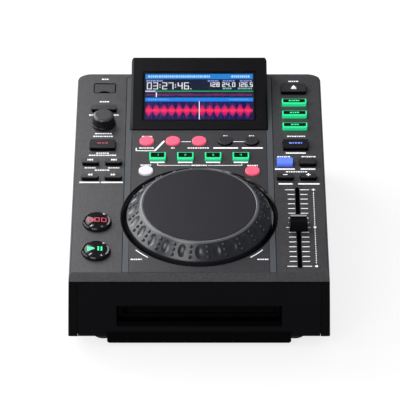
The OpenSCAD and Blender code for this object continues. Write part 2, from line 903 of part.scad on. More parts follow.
module front_panel() color("#1a1a1d")
  difference() {
    union() {
      translate([-front_panel_w / 2, panel_face_y, skirt_h])
        cube([front_panel_w, panel_t, lip_z - panel_edge - seam - skirt_h]);
      intersection() {
        recess_shape(recess_wall);
        translate([-body_w / 2, panel_face_y + 0.1, 0])
          cube([body_w, 4 * recess_depth, block_h]);
      }
    }
    recess_shape();
    // The slot itself
    translate([-slot_w / 2, front_y, slot_z - slot_h / 2])
      cube([slot_w, 4 * recess_depth, slot_h]);
    // Room for the bumper
    translate([-bumper_w / 2 - seam, front_y - over, 0])
      cube([bumper_w + 2 * seam, panel_t + 2 * over, bumper_top_z + seam]);
  }

// Folded steel tray: floor, low belly under the drive, bumper in front and socket wall behind
module base_tray() color(case_black) {
  half = body_w / 2 + side_flare * (crease_h - skirt_h) - wall - seam;
  floor_y0 = front_y + wall + 1;
  lap = 10;
  wall_half = rear_opening_w / 2 - seam;
  difference() {
    union() {
      intersection() {
        translate([-half, floor_y0, tray_floor_z])
          cube([2 * half, rear_wall_y - floor_y0, sheet]);
        linear_extrude(block_h)
          plan_outline(wall + seam);
      }
      translate([-wall_half, rear_wall_y - lap, tray_floor_z])
        cube([2 * wall_half, lap + sheet, sheet]);
      translate([-belly_w / 2, belly_y0, bumper_z])
        cube([belly_w, belly_y1 - belly_y0, tray_floor_z - bumper_z + sheet]);
      bumper();
      // Rear wall
      translate([-wall_half, rear_wall_y, tray_floor_z])
        cube([2 * wall_half, sheet, rear_wall_top_z - seam - tray_floor_z]);
      // Side flanges that stiffen the tray
      for (side = [-1, 1])
        translate([side * (half - sheet / 2) - sheet / 2, front_y + 30, tray_floor_z])
          cube([sheet, rear_y - front_y - 60, tray_flange_h]);
    }
    // Inside of the belly
    translate([-belly_w / 2 + sheet, belly_y0 + sheet, bumper_z + sheet])
      cube([belly_w - 2 * sheet, belly_y1 - belly_y0 - 2 * sheet, tray_floor_z]);
    // Inside of the bumper
    translate([-bumper_w / 2 + sheet, bumper_y + sheet, bumper_z + sheet])
      cube([bumper_w - 2 * sheet, bumper_d + 2 - 2 * sheet, bumper_top_z]);
    tray_vents();
    at_bosses(0)
      cylinder(r = pilot_r + seam, h = 4 * tray_floor_z);
    socket_holes();
  }
}

module bumper()
  along_y(bumper_y, belly_y0 + 2)
    intersection() {
      translate([0, bumper_z + 20])
        round_rect(bumper_w, 40, bumper_corner_r);
      translate([-body_w, 0])
        square([2 * body_w, bumper_top_z]);
    }

module tray_vents()
  for (side = [-1, 1], i = [0:vent_count - 1])
    translate([side * (foot_u + 4) - vent_w / 2, rear_y - 110 + i * vent_pitch, tray_floor_z - over])
      cube([vent_w, vent_pitch * 0.4, sheet + 2 * over]);

module socket_holes() {
  at_phonos(-over)
    cylinder(r = phono_r + 0.4, h = sheet + 2 * over);
  translate([data_x - data_w / 2 - 0.2, rear_wall_y - over, socket_z - data_h / 2 - 0.2])
    cube([data_w + 0.4, sheet + 2 * over, data_h + 0.4]);
  translate([inlet_x - inlet_w / 2 + inlet_rim - 0.5, rear_wall_y - over,
    inlet_z - inlet_h / 2 + inlet_rim - 0.5])
    cube([inlet_w - 2 * inlet_rim + 1, sheet + 2 * over, inlet_h - 2 * inlet_rim + 1]);
}

module rubber_feet() color("#18181a")
  for (side = [-1, 1], y = foot_y)
    translate([side * foot_u, y, 0])
      rotate_extrude()
        polygon([
          [0, 0],
          [foot_d / 2 - foot_bevel, 0],
          [foot_d / 2, foot_bevel],
          [foot_d / 2, tray_floor_z],
          [0, tray_floor_z]]);

module case_screws() color("#2a2a2c")
  at_bosses(tray_floor_z - screw_head_h) {
    difference() {
      cylinder(r = screw_head_r, h = screw_head_h);
      for (turn = [0, 90])
        rotate(turn)
          translate([-screw_slot[0] / 2, -screw_slot[1] / 2, -over])
            cube([screw_slot[0], screw_slot[1], over + screw_slot[2]]);
    }
    translate([0, 0, screw_head_h])
      cylinder(r = pilot_r - 0.05, h = sheet + 8);
  }

// ---- the display ----

// Side view of the housing: the sloping face, the top edge and the back
module pod_outline(inset) {
  top_v = pod_v + pod_len * cos(pod_tilt);
  top_n = pod_lip_h + pod_len * sin(pod_tilt);
  foot = -2 * inset;
  polygon([
    [pod_v + inset, foot],
    [pod_v + inset, pod_lip_h - inset / cos(pod_tilt)],
    [top_v - inset, top_n - inset * 1.15],
    [min(top_v - 0.6, deck_len - 1) - inset, foot]]);
}

// The housing's form: side view, rounded face seen from above, and bevelled cross section
module pod_block(inset)
  intersection() {
    on_deck()
      across_x(pod_w - 2 * inset)
        pod_outline(inset);
    on_face(0, pod_len / 2, -block_h / 2)
      linear_extrude(block_h)
        union() {
          round_rect(pod_w - 2 * inset, pod_len + 2 - 2 * inset, pod_corner_r);
          translate([-pod_w / 2 + inset, -pod_len / 2 - 5])
            square([pod_w - 2 * inset, pod_len / 2]);
        }
    on_face()
      along_y(-pod_len / 2, pod_len * 1.5)
        pod_section(inset);
  }

module pod_section(inset) {
  half = pod_w / 2 - inset;
  polygon([
    [-half, -block_h / 2],
    [-half, -pod_bevel],
    [-half + pod_bevel, -inset],
    [half - pod_bevel, -inset],
    [half, -pod_bevel],
    [half, -block_h / 2]]);
}

module display_housing() color("#1f1e22")
  difference() {
    pod_block(0);
    pod_block(pod_wall);
    // Seat of the window
    on_face(0, picture_mid_s, -window_t)
      plate(window_w + 2 * window_seam, window_d + 2 * window_seam, 4 * window_t,
        window_corner_r + window_seam);
    // View to the picture
    on_face(0, picture_mid_s, -2 * pod_wall)
      plate(picture_w + 2, picture_h + 2, 4 * pod_wall);
    // Seat of the display module
    on_face(0, picture_mid_s, -window_t - lcd_gap - block_h / 4)
      translate([-lcd_w / 2 - seam, -lcd_d / 2 - seam, 0])
        cube([lcd_w + 2 * seam, lcd_d + 2 * seam, block_h / 4]);
  }

module display_window() color("#101018", 0.5)
  on_face(0, picture_mid_s, -window_t)
    plate(window_w, window_d, window_t, window_corner_r);

module lcd_module() color("#0b0b2a")
  on_face(0, picture_mid_s, -window_t - lcd_gap - lcd_t) {
    translate([-lcd_w / 2, -lcd_d / 2, 0])
      cube([lcd_w, lcd_d, lcd_t]);
    // Flexible tail of the display, on its back
    translate([-lcd_tail[0] / 2, -lcd_d / 2 + 8, -lcd_tail[2]])
      cube(lcd_tail);
  }

// ---- the jog wheel ----

module jog_well() color("#0c0c0e")
  on_jog() {
    rotate_extrude()
      polygon([
        [well_r, -well_slope_h],
        [well_outer_r - well_lip_w, well_ring_n],
        [well_outer_r, well_ring_n],
        [well_outer_r, under_floor_n],
        [bearing_r, under_floor_n],
        [bearing_r - 2, under_floor_n - bearing_len],
        [jog_shaft_r + running_fit, under_floor_n - bearing_len],
        [jog_shaft_r + running_fit, bearing_top_n],
        [jog_shaft_r + 3, bearing_top_n],
        [jog_shaft_r + 3, floor_n],
        [well_r, floor_n]]);
    // Ribs under the well's floor, between the boards' corners
    difference() {
      for (a = [22.5:45:337.5])
        rotate(a)
          translate([bearing_r - 1, -rib_t / 2, under_floor_n - rib_h])
            cube([well_outer_r - bearing_r - 10, rib_t, rib_h]);
      cylinder(r = bearing_r - 2.5, h = 4 * well_depth, center = true);
    }
  }

// One finger dimple: a lens-shaped spindle laid along the cone's slope, as wide as dimple_w and
// as long as dimple_len where it meets the cone
module dimple()
  translate([cone_mid_r, 0, cone_mid_n])
    rotate([0, cone_angle, 0])
      translate([0, 0, dimple_ball_r - dimple_depth])
        rotate([0, 90, 0])
          rotate_extrude($fn = 40)
            intersection() {
              translate([dimple_ball_r - dimple_arc_r, 0])
                circle(dimple_arc_r, $fn = 160);
              translate([0, -dimple_len])
                square([dimple_len * 2, dimple_len * 2]);
            }

// Bevelled rim with dimples and rows of grip bumps, a web with a hub hole, and a ledge for the
// touch disc
module jog_rim() color("#44464b")
  on_jog() {
    difference() {
      rotate_extrude($fn = 96)
        polygon([
          [jog_shaft_r + 0.3, web_n],
          [ring_r - skin, web_n],
          [jog_r - skin - 1, rim_h - skin],
          [jog_r - skin, skirt_n],
          [jog_r, skirt_n],
          [jog_r, rim_h - 0.6],
          [jog_r - 0.4, rim_h],
          [ring_r, cone_top_n],
          [ring_r - 0.5, cone_top_n + 0.6],
          [touch_r + 0.6, jog_h],
          [touch_r + plate_fit, jog_h - 0.2],
          [touch_r + plate_fit, ledge_n],
          [touch_r - 6, ledge_n],
          [touch_r - 6, web_n + web_t],
          [jog_shaft_r + 0.3, web_n + web_t]]);
      for (i = [0:dimple_count - 1])
        rotate(i * 360 / dimple_count)
          dimple();
    }
    for (i = [0:dimple_count - 1], j = [-1:1])
      rotate((i + 0.5) * 360 / dimple_count)
        translate([cone_mid_r, 0, cone_mid_n])
          rotate([0, cone_angle, 0])
            translate([j * bump_pitch, 0, -bump_sink])
              sphere(bump_r, $fn = 20);
  }

module touch_disc() color("#3a383d")
  on_jog()
    rotate_extrude($fn = 96)
      polygon([
        [0, ledge_n],
        [touch_r, ledge_n],
        [touch_r, jog_h - 0.3],
        [touch_r - 0.5, jog_h],
        [0, jog_h]]);

module jog_shaft() color("#b9bcc0")
  on_jog() {
    cylinder(r = jog_shaft_r - 0.1, h = ledge_n - 0.3);
    translate([0, 0, shaft_tip_n])
      cylinder(r = jog_shaft_r, h = -shaft_tip_n);
    translate([0, 0, web_n + web_t])
      cylinder(r = jog_shaft_r + 6, h = 1.6);
    // Slotted disc read by the light barrier
    difference() {
      translate([0, 0, shaft_tip_n + 0.6])
        cylinder(r = encoder_disc_r, h = encoder_disc_t);
      for (i = [0:encoder_slots - 1])
        rotate(i * 360 / encoder_slots)
          translate([encoder_disc_r - 5, -encoder_slot[1] / 2, shaft_tip_n - over])
            cube([encoder_slot[0], encoder_slot[1], 4]);
    }
  }

// ---- knob, fader, socket cover ----

module browse_knob() color("#2b2b2e")
  on_deck(-column_u, knob_v) {
    difference() {
      rotate_extrude()
        polygon([
          [knob_shaft_r, knob_foot_n],
          [knob_d / 2, knob_foot_n],
          [knob_d / 2, knob_foot_n + 1],
          [knob_side_r, knob_skirt_n],
          [knob_neck_r, knob_shoulder_n],
          [knob_top_d / 2 - 0.4, knob_h - 0.5],
          [knob_top_d / 2 - 1.6, knob_h],
          [0, knob_h],
          [0, knob_socket_n],
          [knob_shaft_r, knob_socket_n]]);
      // Grip grooves that lean with the side
      for (i = [0:knob_grooves - 1])
        rotate(i * 360 / knob_grooves)
          translate([knob_side_r + groove_r / 2, 0, knob_skirt_n])
            rotate([0, -knob_lean, 0])
              cylinder(r = groove_r, h = knob_h, $fn = 16);
    }
    // Shaft, pushed into the knob's socket
    translate([0, 0, stem_tip_n + 0.5])
      cylinder(r = knob_shaft_r - running_fit, h = knob_socket_n - 0.1 - stem_tip_n - 0.5);
  }

module encoder_sleeve() color("#a9a49a")
  on_deck(-column_u, knob_v)
    rotate_extrude()
      polygon([
        [knob_shaft_r, sleeve_foot_n],
        [sleeve_flange_r, sleeve_foot_n],
        [sleeve_flange_r, -wall - seam],
        [knob_collar_d / 2, -wall - seam],
        [knob_collar_d / 2, -0.4],
        [knob_shaft_r, -0.4]]);

// Saddle-shaped cap with a raised edge at each end, on a stem with a carriage
module fader_cap() color("#1a1a1c")
  on_deck(column_u, fader_v) {
    translate([0, 0, fader_foot_n])
      intersection() {
        across_x(fader_cap_w)
          difference() {
            polygon([
              [-fader_cap_d / 2, 0],
              [-fader_cap_d / 2 + fader_lean_v, fader_cap_h],
              [fader_cap_d / 2 - fader_lean_v, fader_cap_h],
              [fader_cap_d / 2, 0]]);
            translate([0, fader_cap_h + fader_saddle_r - fader_saddle_d])
              circle(fader_saddle_r);
          }
        along_y(-fader_cap_d, fader_cap_d)
          polygon([
            [-fader_cap_w / 2, 0],
            [-fader_cap_w / 2 + fader_lean_u, fader_cap_h],
            [fader_cap_w / 2 - fader_lean_u, fader_cap_h],
            [fader_cap_w / 2, 0]]);
      }
    translate([-fader_stem_w / 2, -fader_stem_d / 2, -wall - track_h + carriage_h])
      cube([fader_stem_w, fader_stem_d, wall + track_h - carriage_h + over]);
    translate([-carriage_w / 2, -fader_stem_d / 2 - 1, -wall - track_h + 2])
      cube([carriage_w, fader_stem_d + 2, carriage_h]);
  }

module fader_track() color("#8d8f92")
  on_deck(column_u, fader_v, -wall - running_fit - track_h)
    difference() {
      len = fader_travel + fader_stem_d + 2 * track_end;
      translate([-track_w / 2, -len / 2, 0])
        cube([track_w, len, track_h]);
      translate([-carriage_w / 2 - 0.5, -len / 2 + track_wall, track_wall])
        cube([carriage_w + 1, len - 2 * track_wall, track_h - 2 * track_wall]);
      translate([-fader_stem_w / 2 - 0.5, -fader_slot_len / 2, track_h / 2])
        cube([fader_stem_w + 1, fader_slot_len, track_h]);
    }

// Cover of the memory socket: a plate with a finger notch in front and a hinge barrel along its
// back edge
module usb_cover() color("#202023")
  on_deck(-column_u, flap_v) {
    difference() {
      intersection() {
        translate([0, 0, -cover_t])
          plate(flap_w, flap_d, cover_t, cover_corner_r);
        translate([-flap_w / 2, -flap_d / 2, -cover_t])
          cube([flap_w, flap_d - hinge_r, cover_t]);
      }
      translate([0, -flap_d / 2 + notch_d - notch_r, -cover_t - over])
        cylinder(r = notch_r, h = cover_t + 2 * over);
    }
    translate([0, flap_d / 2 - hinge_r, -hinge_r]) {
      x_pin(hinge_r, flap_w);
      x_pin(hinge_pin_r, hinge_pin_len);
    }
  }

module usb_socket() color("#b7b9bc")
  on_deck(-column_u, flap_v, -flap_depth - 1 - usb_len) {
    difference() {
      translate([-usb_w / 2, -usb_d / 2, 0])
        cube([usb_w, usb_d, usb_len]);
      translate([-usb_w / 2 + usb_shell, -usb_d / 2 + usb_shell, 1.5])
        cube([usb_w - 2 * usb_shell, usb_d - 2 * usb_shell, usb_len]);
    }
    translate([-usb_tongue[0] / 2, 0.4, 1])
      cube([usb_tongue[0], usb_tongue[1], usb_len - 2]);
  }

// ---- circuit boards ----

module tact_switch(u, v)
  on_deck(u - switch_w / 2, v - switch_w / 2, board_n)
    cube([switch_w, switch_w, switch_h]);

module key_board_plate(u0, u1, v0, v1)
  on_deck(u0, v0, board_n - board_t)
    cube([u1 - u0, v1 - v0, board_t]);

module key_switches() {
  for (side = [-1, 1], end = [-1, 1], v = [lower_pair_v, upper_pair_v])
    tact_switch(side * column_u + end * pair_u, v);
  for (side = [-1, 1]) {
    tact_switch(side * column_u, reverse_v);
    tact_switch(side * jog_pair_u, jog_pair_v);
  }
  tact_switch(-column_u, back_key_v);
  tact_switch(column_u, eject_v);
  for (i = [0:2])
    tact_switch(column_u, source_v + i * source_pitch);
  for (v = [cue_v, play_v])
    tact_switch(-cue_centre_u, v);
  for (i = [-2:2])
    tact_switch(i * round_key_pitch, round_row_v);
  for (i = [1:4])
    tact_switch((i - 2.5) * cue_key_pitch, cue_row_v);
}

module key_boards() color(board_green) {
  outer = body_w / 2 - wall - 3;
  inner = well_outer_r + 1;
  difference() {
    union() {
      key_board_plate(-outer, -inner, 12, flap_v - usb_d / 2 - 4);
      key_board_plate(inner, outer, lower_pair_v - 10, eject_v + 11);
      key_board_plate(-opening_half + 1, opening_half - 1, jog_pair_v - 9, pod_v - 8);
      key_switches();
      // Body of the rotary encoder
      on_deck(-column_u - encoder_w / 2, knob_v - encoder_w / 2, board_n)
        cube([encoder_w, encoder_w, sleeve_foot_n - 0.3 - board_n]);
    }
    // Room for the case's screw bosses
    at_bosses(0)
      cylinder(r = boss_r + 0.5, h = block_h);
    // The encoder's well for the knob's shaft
    on_deck(-column_u, knob_v, stem_tip_n - key_travel - 0.3)
      cylinder(r = knob_shaft_r + 0.3, h = 20);
  }
  // Pillars from the deck to the boards
  for (p = board_pillars)
    on_deck(p[0], p[1], board_n)
      cylinder(r = pillar_r, h = p[2] - board_n);
}

// A board on four standoffs, from x[0] to x[1] and y[0] to y[1]
module board_on_standoffs(x, y) {
  translate([x[0], y[0], main_z])
    cube([x[1] - x[0], y[1] - y[0], board_t]);
  for (px = [x[0] + 8, x[1] - 8], py = [y[0] + 6, y[1] - 6])
    translate([px, py, inside_z])
      cylinder(r = standoff_r, h = standoff_h);
}

module main_board() color(board_green) {
  board_on_standoffs(main_x, [boards_y0, rear_wall_y - 3]);
  // Processor and memory
  translate([-44, boards_y0 + 20, main_z + board_t])
    cube([22, 22, 2]);
  translate([-12, boards_y0 + 14, main_z + board_t])
    cube([12, 16, 1.6]);
}

module power_board() color("#2b6a3a") {
  board_on_standoffs(power_x, [boards_y0, rear_wall_y - 28]);
  // Transformer and capacitor
  translate([power_x[0] + 16, boards_y0 + 10, main_z + board_t])
    cube([24, 22, 18]);
  translate([power_x[0] + 52, boards_y0 + 20, main_z + board_t])
    cylinder(r = 7, h = 20);
}

// ---- the disc drive ----

module drive_frame() color("#9a9da1") {
  half = drive_w / 2;
  difference() {
    translate([-half, drive_y, inside_z])
      cube([drive_w, drive_len, drive_top_z - inside_z]);
    // Through hollow, open in front and below
    translate([-half + drive_wall, drive_y - over, inside_z - over])
      cube([drive_w - 2 * drive_wall, drive_len - drive_wall + over, disc_high_z + 1 - inside_z + over]);
    // Pressed lightening holes in the top plate
    for (p = [[0, 0], [-42, -38], [42, -38], [-42, 38], [42, 38]])
      translate([p[0], disc_y + p[1], disc_high_z])
        cylinder(r = light_hole_r, h = 30);
    translate([-half + drive_wall + 4, drive_y + 5, disc_high_z + 1 + drive_wall])
      cube([drive_w - 2 * drive_wall - 8, drive_len - 10, 30]);
    // Bearings of the loading roller and of the traverse's hinge pin
    translate([0, roller_y, roller_z])
      x_pin(roller_pin_r + running_fit, drive_w + 2);
    translate([0, pivot_y, pivot_z])
      x_pin(pivot_r + running_fit, drive_w + 2);
  }
  // Feet of the drive
  for (side = [-1, 1], y = [drive_y + 16, drive_y + drive_len - 26])
    translate([side * (half + 4) - drive_foot[0] / 2, y, inside_z])
      cube(drive_foot);
}

module load_roller() color("#202022")
  translate([0, roller_y, roller_z])
    rotate([0, 90, 0])
      rotate_extrude()
        polygon([
          [0, -drive_w / 2],
          [roller_pin_r, -drive_w / 2],
          [roller_pin_r, -drive_w / 2 + roller_end],
          [roller_d / 2, -drive_w / 2 + roller_end],
          [roller_d / 2 - roller_waist, 0],
          [roller_d / 2, drive_w / 2 - roller_end],
          [roller_pin_r, drive_w / 2 - roller_end],
          [roller_pin_r, drive_w / 2],
          [0, drive_w / 2]]);

// End block of a rail or of the lead screw, under the traverse plate
module rail_end(x, y)
  translate([x - rail_block[0] / 2, y, rail_z - rail_block[2]])
    cube([rail_block[0], rail_block[1], traverse_z - rail_z + rail_block[2]]);

module traverse_frame() color("#5c6064") {
  half = traverse_w / 2;
  difference() {
    translate([-half, pivot_y - traverse_len, traverse_z])
      cube([traverse_w, traverse_len - 3, traverse_t]);
    // Window for the pickup
    translate([pickup_window[0], rail_y0, traverse_z - over])
      cube([pickup_window[1] - pickup_window[0], rail_y1 - rail_y0, traverse_t + 2 * over]);
    translate([0, disc_y, traverse_z - over])
      cylinder(r = spindle_r + 2, h = traverse_t + 2 * over);
  }
  // Hinge pin and its arms
  translate([0, pivot_y, pivot_z])
    x_pin(pivot_r, drive_w);
  for (side = [-1, 1])
    translate([side * (half - 8) - pivot_arm_w / 2, pivot_y - 6, traverse_z])
      cube([pivot_arm_w, 6, traverse_t]);
  // Rails of the pickup
  for (x = [-rail_x, rail_x]) {
    translate([x, rail_y0 - 3, rail_z])
      rotate([-90, 0, 0])
        cylinder(r = rail_r, h = rail_y1 - rail_y0 + 6);
    rail_end(x, rail_y0 - rail_block[1]);
    rail_end(x, rail_y1);
  }
  // Bearings of the lead screw
  for (y = [rail_y0 - rail_block[1], rail_y1])
    difference() {
      rail_end(screw_x, y);
      translate([screw_x, y - over, rail_z])
        rotate([-90, 0, 0])
          cylinder(r = screw_r + running_fit, h = rail_block[1] + 2 * over);
    }
  // Turntable motor
  difference() {
    translate([0, disc_y, traverse_z - motor_h])
      cylinder(r = motor_r, h = motor_h);
    translate([0, disc_y, traverse_z - motor_h - over])
      cylinder(r = spindle_r + running_fit, h = motor_h + 2 * over);
  }
}

module turntable() color("#33363a")
  translate([0, disc_y, traverse_z + traverse_t]) {
    translate([0, 0, table_gap])
      cylinder(d = turntable_d, h = table_t);
    translate([0, 0, table_gap + table_t])
      cylinder(r1 = hub_r[0], r2 = hub_r[1], h = hub_h);
    translate([0, 0, -traverse_t - motor_h + 1])
      cylinder(r = spindle_r, h = traverse_t + motor_h);
  }

module lead_screw() color("#c3c5c8")
  translate([screw_x, 0, rail_z])
    rotate([-90, 0, 0]) {
      translate([0, 0, rail_y0 - rail_block[1]])
        cylinder(r = screw_r, h = rail_y1 - rail_y0 + 2 * rail_block[1]);
      // Worm thread, drawn as rings of its pitch
      for (i = [1:floor((rail_y1 - rail_y0 - 2) / screw_pitch)])
        translate([0, 0, rail_y0 + i * screw_pitch - 0.5])
          cylinder(r = screw_r + thread_h, h = thread_t);
    }

module pickup_sled() color("#2a2c30")
  difference() {
    union() {
      translate([-rail_x - 5, sled_y0, rail_z - sled_drop])
        cube([2 * rail_x + 10, sled_len, sled_t]);
      // Lens
      translate([0, sled_y0 + sled_len / 2 - 4, rail_z])
        cylinder(r = pickup_lens_r, h = traverse_z + traverse_t + 1 - rail_z);
      // Nut half that follows the lead screw
      translate([screw_x, sled_y0 + 7, rail_z - sled_drop])
        cube([-rail_x - screw_x, 8, 1.1]);
    }
    for (x = [-rail_x, rail_x])
      translate([x, sled_y0 - over, rail_z])
        rotate([-90, 0, 0])
          cylinder(r = rail_r + running_fit, h = sled_len + 2 * over);
  }

// ---- the back ----

// Places of the three phono sockets, their axes pointing back, at y from the rear wall's inner face
module at_phonos(y)
  for (i = [0:2])
    translate([phono_x + i * phono_pitch, rear_wall_y + y, socket_z])
      rotate([-90, 0, 0])
        children();

module rear_sockets() color("#17171a") {
  reach = rear_y + socket_reach - rear_wall_y - sheet;
  block_z = main_z + board_t;
  at_phonos(sheet)
    difference() {
      union() {
        cylinder(r = phono_r, h = reach);
        translate([0, 0, -sheet - phono_depth])
          cylinder(r = phono_r - phono_step, h = sheet + phono_depth + 0.1);
        cylinder(r = phono_r + 1.6, h = phono_flange_t);
      }
      translate([0, 0, 2])
        cylinder(r = phono_r - 0.6, h = 3 * reach);
    }
  // Insulated middle of each socket, with the hole for the plug's pin
  at_phonos(sheet)
    difference() {
      translate([0, 0, 1])
        cylinder(r = phono_pin_r, h = reach - 1.4);
      translate([0, 0, 3])
        cylinder(r = phono_pin_r - 0.6, h = 3 * reach);
    }
  // Block that carries the phono sockets on the main board
  translate([phono_x - 6, rear_wall_y - phono_depth - 0.4, block_z])
    cube([2 * phono_pitch + 12, phono_depth, socket_z + 6 - block_z]);
  // Square data socket
  translate([data_x, rear_wall_y, socket_z])
    difference() {
      translate([-data_w / 2, -data_depth, -data_h / 2])
        cube([data_w, data_depth + sheet + 0.6, data_h]);
      translate([-data_mouth / 2, -8, -4])
        cube([data_mouth, 20, 8]);
    }
  translate([data_x - data_tongue[0] / 2, rear_wall_y - 8.5, socket_z - data_tongue[1] / 2])
    cube([data_tongue[0], 8.5, data_tongue[1]]);
}

module mains_inlet() color("#141416")
  translate([inlet_x, rear_wall_y + sheet, inlet_z]) {
    difference() {
      union() {
        translate([-inlet_w / 2, 0, -inlet_h / 2])
          cube([inlet_w, inlet_flange_t, inlet_h]);
        translate([-inlet_w / 2 + inlet_rim, -inlet_depth, -inlet_h / 2 + inlet_rim])
          cube([inlet_w - 2 * inlet_rim, inlet_depth + 0.1, inlet_h - 2 * inlet_rim]);
      }
      translate([inlet_left - cavity_w / 2, -cavity_d, -cavity_h / 2])
        cube([cavity_w, cavity_d + 2 * inlet_flange_t, cavity_h]);
      // Swing room of the rocker
      translate([rocker_right, 0, 0])
        x_pin(rocker_swing_r, rocker_w + 0.8);
    }
    // Contacts: two beside each other and one above
    for (x = [-contact_x, contact_x])
      translate([inlet_left + x - contact[0] / 2, -cavity_d - 0.1, -contact[1]])
        cube([contact[0], cavity_d - 2, contact[1]]);
    translate([inlet_left - contact[0] / 2, -cavity_d - 0.1, 0])
      cube([contact[0], cavity_d, contact[1]]);
    // Pivot pin of the rocker
    translate([rocker_right, 0, 0])
      x_pin(rocker_pin_r, rocker_w + 1.6);
  }

// The rocker is bent at its pivot, so that one half stands out and the other lies in
module power_rocker() color("#101012")
  translate([inlet_x + rocker_right, rear_wall_y + sheet, inlet_z])
    difference() {
      across_x(rocker_w)
        polygon([
          [-4, -3],
          [0.6, -8.6],
          [3, -8.4],
          [3.2, 0],
          [5.6, 6.6],
          [3.4, 8.6],
          [-4, 3]]);
      x_pin(rocker_pin_r + running_fit, rocker_w + 2);
    }

base_tray();
top_case();
control_panel();
side_strips();
front_panel();
display_housing();
display_window();
lcd_module();
jog_well();
jog_rim();
touch_disc();
jog_shaft();
usb_cover();
usb_socket();
browse_knob();
encoder_sleeve();
fader_cap();
fader_track();
back_button();
reverse_button();
track_prev();
track_next();
search_back();
search_forward();
cue_button();
play_button();
eject_button();
source_button(0);  // source_1
source_button(1);  // source_2
source_button(2);  // source_3
jog_mode_button();
key_lock_button();
tap_button();
bend_minus();
bend_plus();
round_row_key(-2, "#ff7f93");  // loop_auto
round_row_key(-1, "#ff7f93");  // loop_in
round_row_key(0, "#ff7f93");  // loop_out
round_row_key(1, "#1c1c1f");  // loop_half
round_row_key(2, "#1c1c1f");  // loop_double
hot_cue(1);  // hot_cue_1
hot_cue(2);  // hot_cue_2
hot_cue(3);  // hot_cue_3
hot_cue(4);  // hot_cue_4
memory_button();
slip_button();
key_boards();
main_board();
power_board();
drive_frame();
traverse_frame();
turntable();
lead_screw();
pickup_sled();
load_roller();
rear_sockets();
mains_inlet();
power_rocker();
rubber_feet();
case_screws();
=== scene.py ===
from math import cos, pi, radians, sin

import bpy
import numpy as np
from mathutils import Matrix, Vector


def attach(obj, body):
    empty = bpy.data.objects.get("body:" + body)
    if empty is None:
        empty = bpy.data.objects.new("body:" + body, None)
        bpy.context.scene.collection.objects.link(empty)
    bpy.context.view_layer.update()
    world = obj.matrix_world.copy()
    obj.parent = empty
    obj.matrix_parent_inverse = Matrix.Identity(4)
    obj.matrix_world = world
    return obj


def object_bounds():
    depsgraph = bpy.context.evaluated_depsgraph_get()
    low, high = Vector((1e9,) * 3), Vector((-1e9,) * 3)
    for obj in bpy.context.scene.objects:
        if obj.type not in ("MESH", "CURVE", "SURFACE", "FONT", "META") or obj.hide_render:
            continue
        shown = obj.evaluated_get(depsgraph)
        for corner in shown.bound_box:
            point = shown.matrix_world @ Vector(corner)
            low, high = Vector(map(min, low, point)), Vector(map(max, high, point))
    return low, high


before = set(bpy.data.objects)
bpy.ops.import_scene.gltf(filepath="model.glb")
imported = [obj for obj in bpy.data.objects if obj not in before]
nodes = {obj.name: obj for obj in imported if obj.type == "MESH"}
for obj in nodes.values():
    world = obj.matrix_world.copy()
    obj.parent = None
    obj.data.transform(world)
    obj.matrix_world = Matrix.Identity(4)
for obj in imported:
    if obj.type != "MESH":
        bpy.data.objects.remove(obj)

cad_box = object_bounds()
scene = bpy.context.scene
scene.view_settings.view_transform = "Standard"


# ---- Camera ----
# A long portrait lens on a stand, straight in front of the player and looking down on its deck,
# far enough away that the sides of the case stay almost parallel.
lens = bpy.data.cameras.new("portrait_lens")
lens.sensor_width = 36
lens.lens = 299.05
lens.shift_x = 0.0021
camera = bpy.data.objects.new("camera", lens)
camera.location = (0, -2.4239, 1.5998)
camera.rotation_euler = (radians(57.467), 0, 0)
scene.collection.objects.link(camera)
scene.camera = camera


# ---- Studio: paper floor, white walls and soft boxes ----
# A sheet of matt white paper under the player and pale walls round it. A soft box close behind the
# left corner gives the deck its sheen, one in front and one at the side fill in the dark faces, and
# two small ceiling lamps leave small glints on the glossy caps.
def add(tree, kind, settings=None, links=None):
    """Adds a node of that kind. settings holds its properties and input values by name or number,
    and links gives for an input the node and the output that feed it."""
    made = tree.nodes.new("ShaderNode" + kind)
    for name, value in (settings or {}).items():
        if isinstance(name, int) or name in made.inputs:
            made.inputs[name].default_value = value
        else:
            setattr(made, name, value)
    for name, (source, output) in (links or {}).items():
        tree.links.new(source.outputs[output], made.inputs[name])
    return made


def colour(code):
    """Linear, opaque colour of an sRGB hex code: c / 12.92 up to 0.04045, and ((c + 0.055) / 1.055) to the
    power 2.4 above it."""
    c = np.array([int(code[i : i + 2], 16) for i in (1, 3, 5)]) / 255
    linear = np.where(c <= 0.04045, c / 12.92, ((c + 0.055) / 1.055) ** 2.4)
    return (*map(float, linear), 1.0)


def blank(name):
    """A new material with nothing in it but its output."""
    made = bpy.data.materials.new(name)
    made.use_nodes = True
    made.node_tree.nodes.clear()
    return made, made.node_tree


def seen_directly(tree):
    """1 for rays from the camera, off a glossy surface or through glass, and 0 for light that spreads."""
    path = add(tree, "LightPath")
    gloss = add(tree, "Math", {"operation": "MAXIMUM"},
                {0: (path, "Is Camera Ray"), 1: (path, "Is Glossy Ray")})
    return add(tree, "Math", {"operation": "MAXIMUM"}, {0: (gloss, 0), 1: (path, "Is Transmission Ray")})


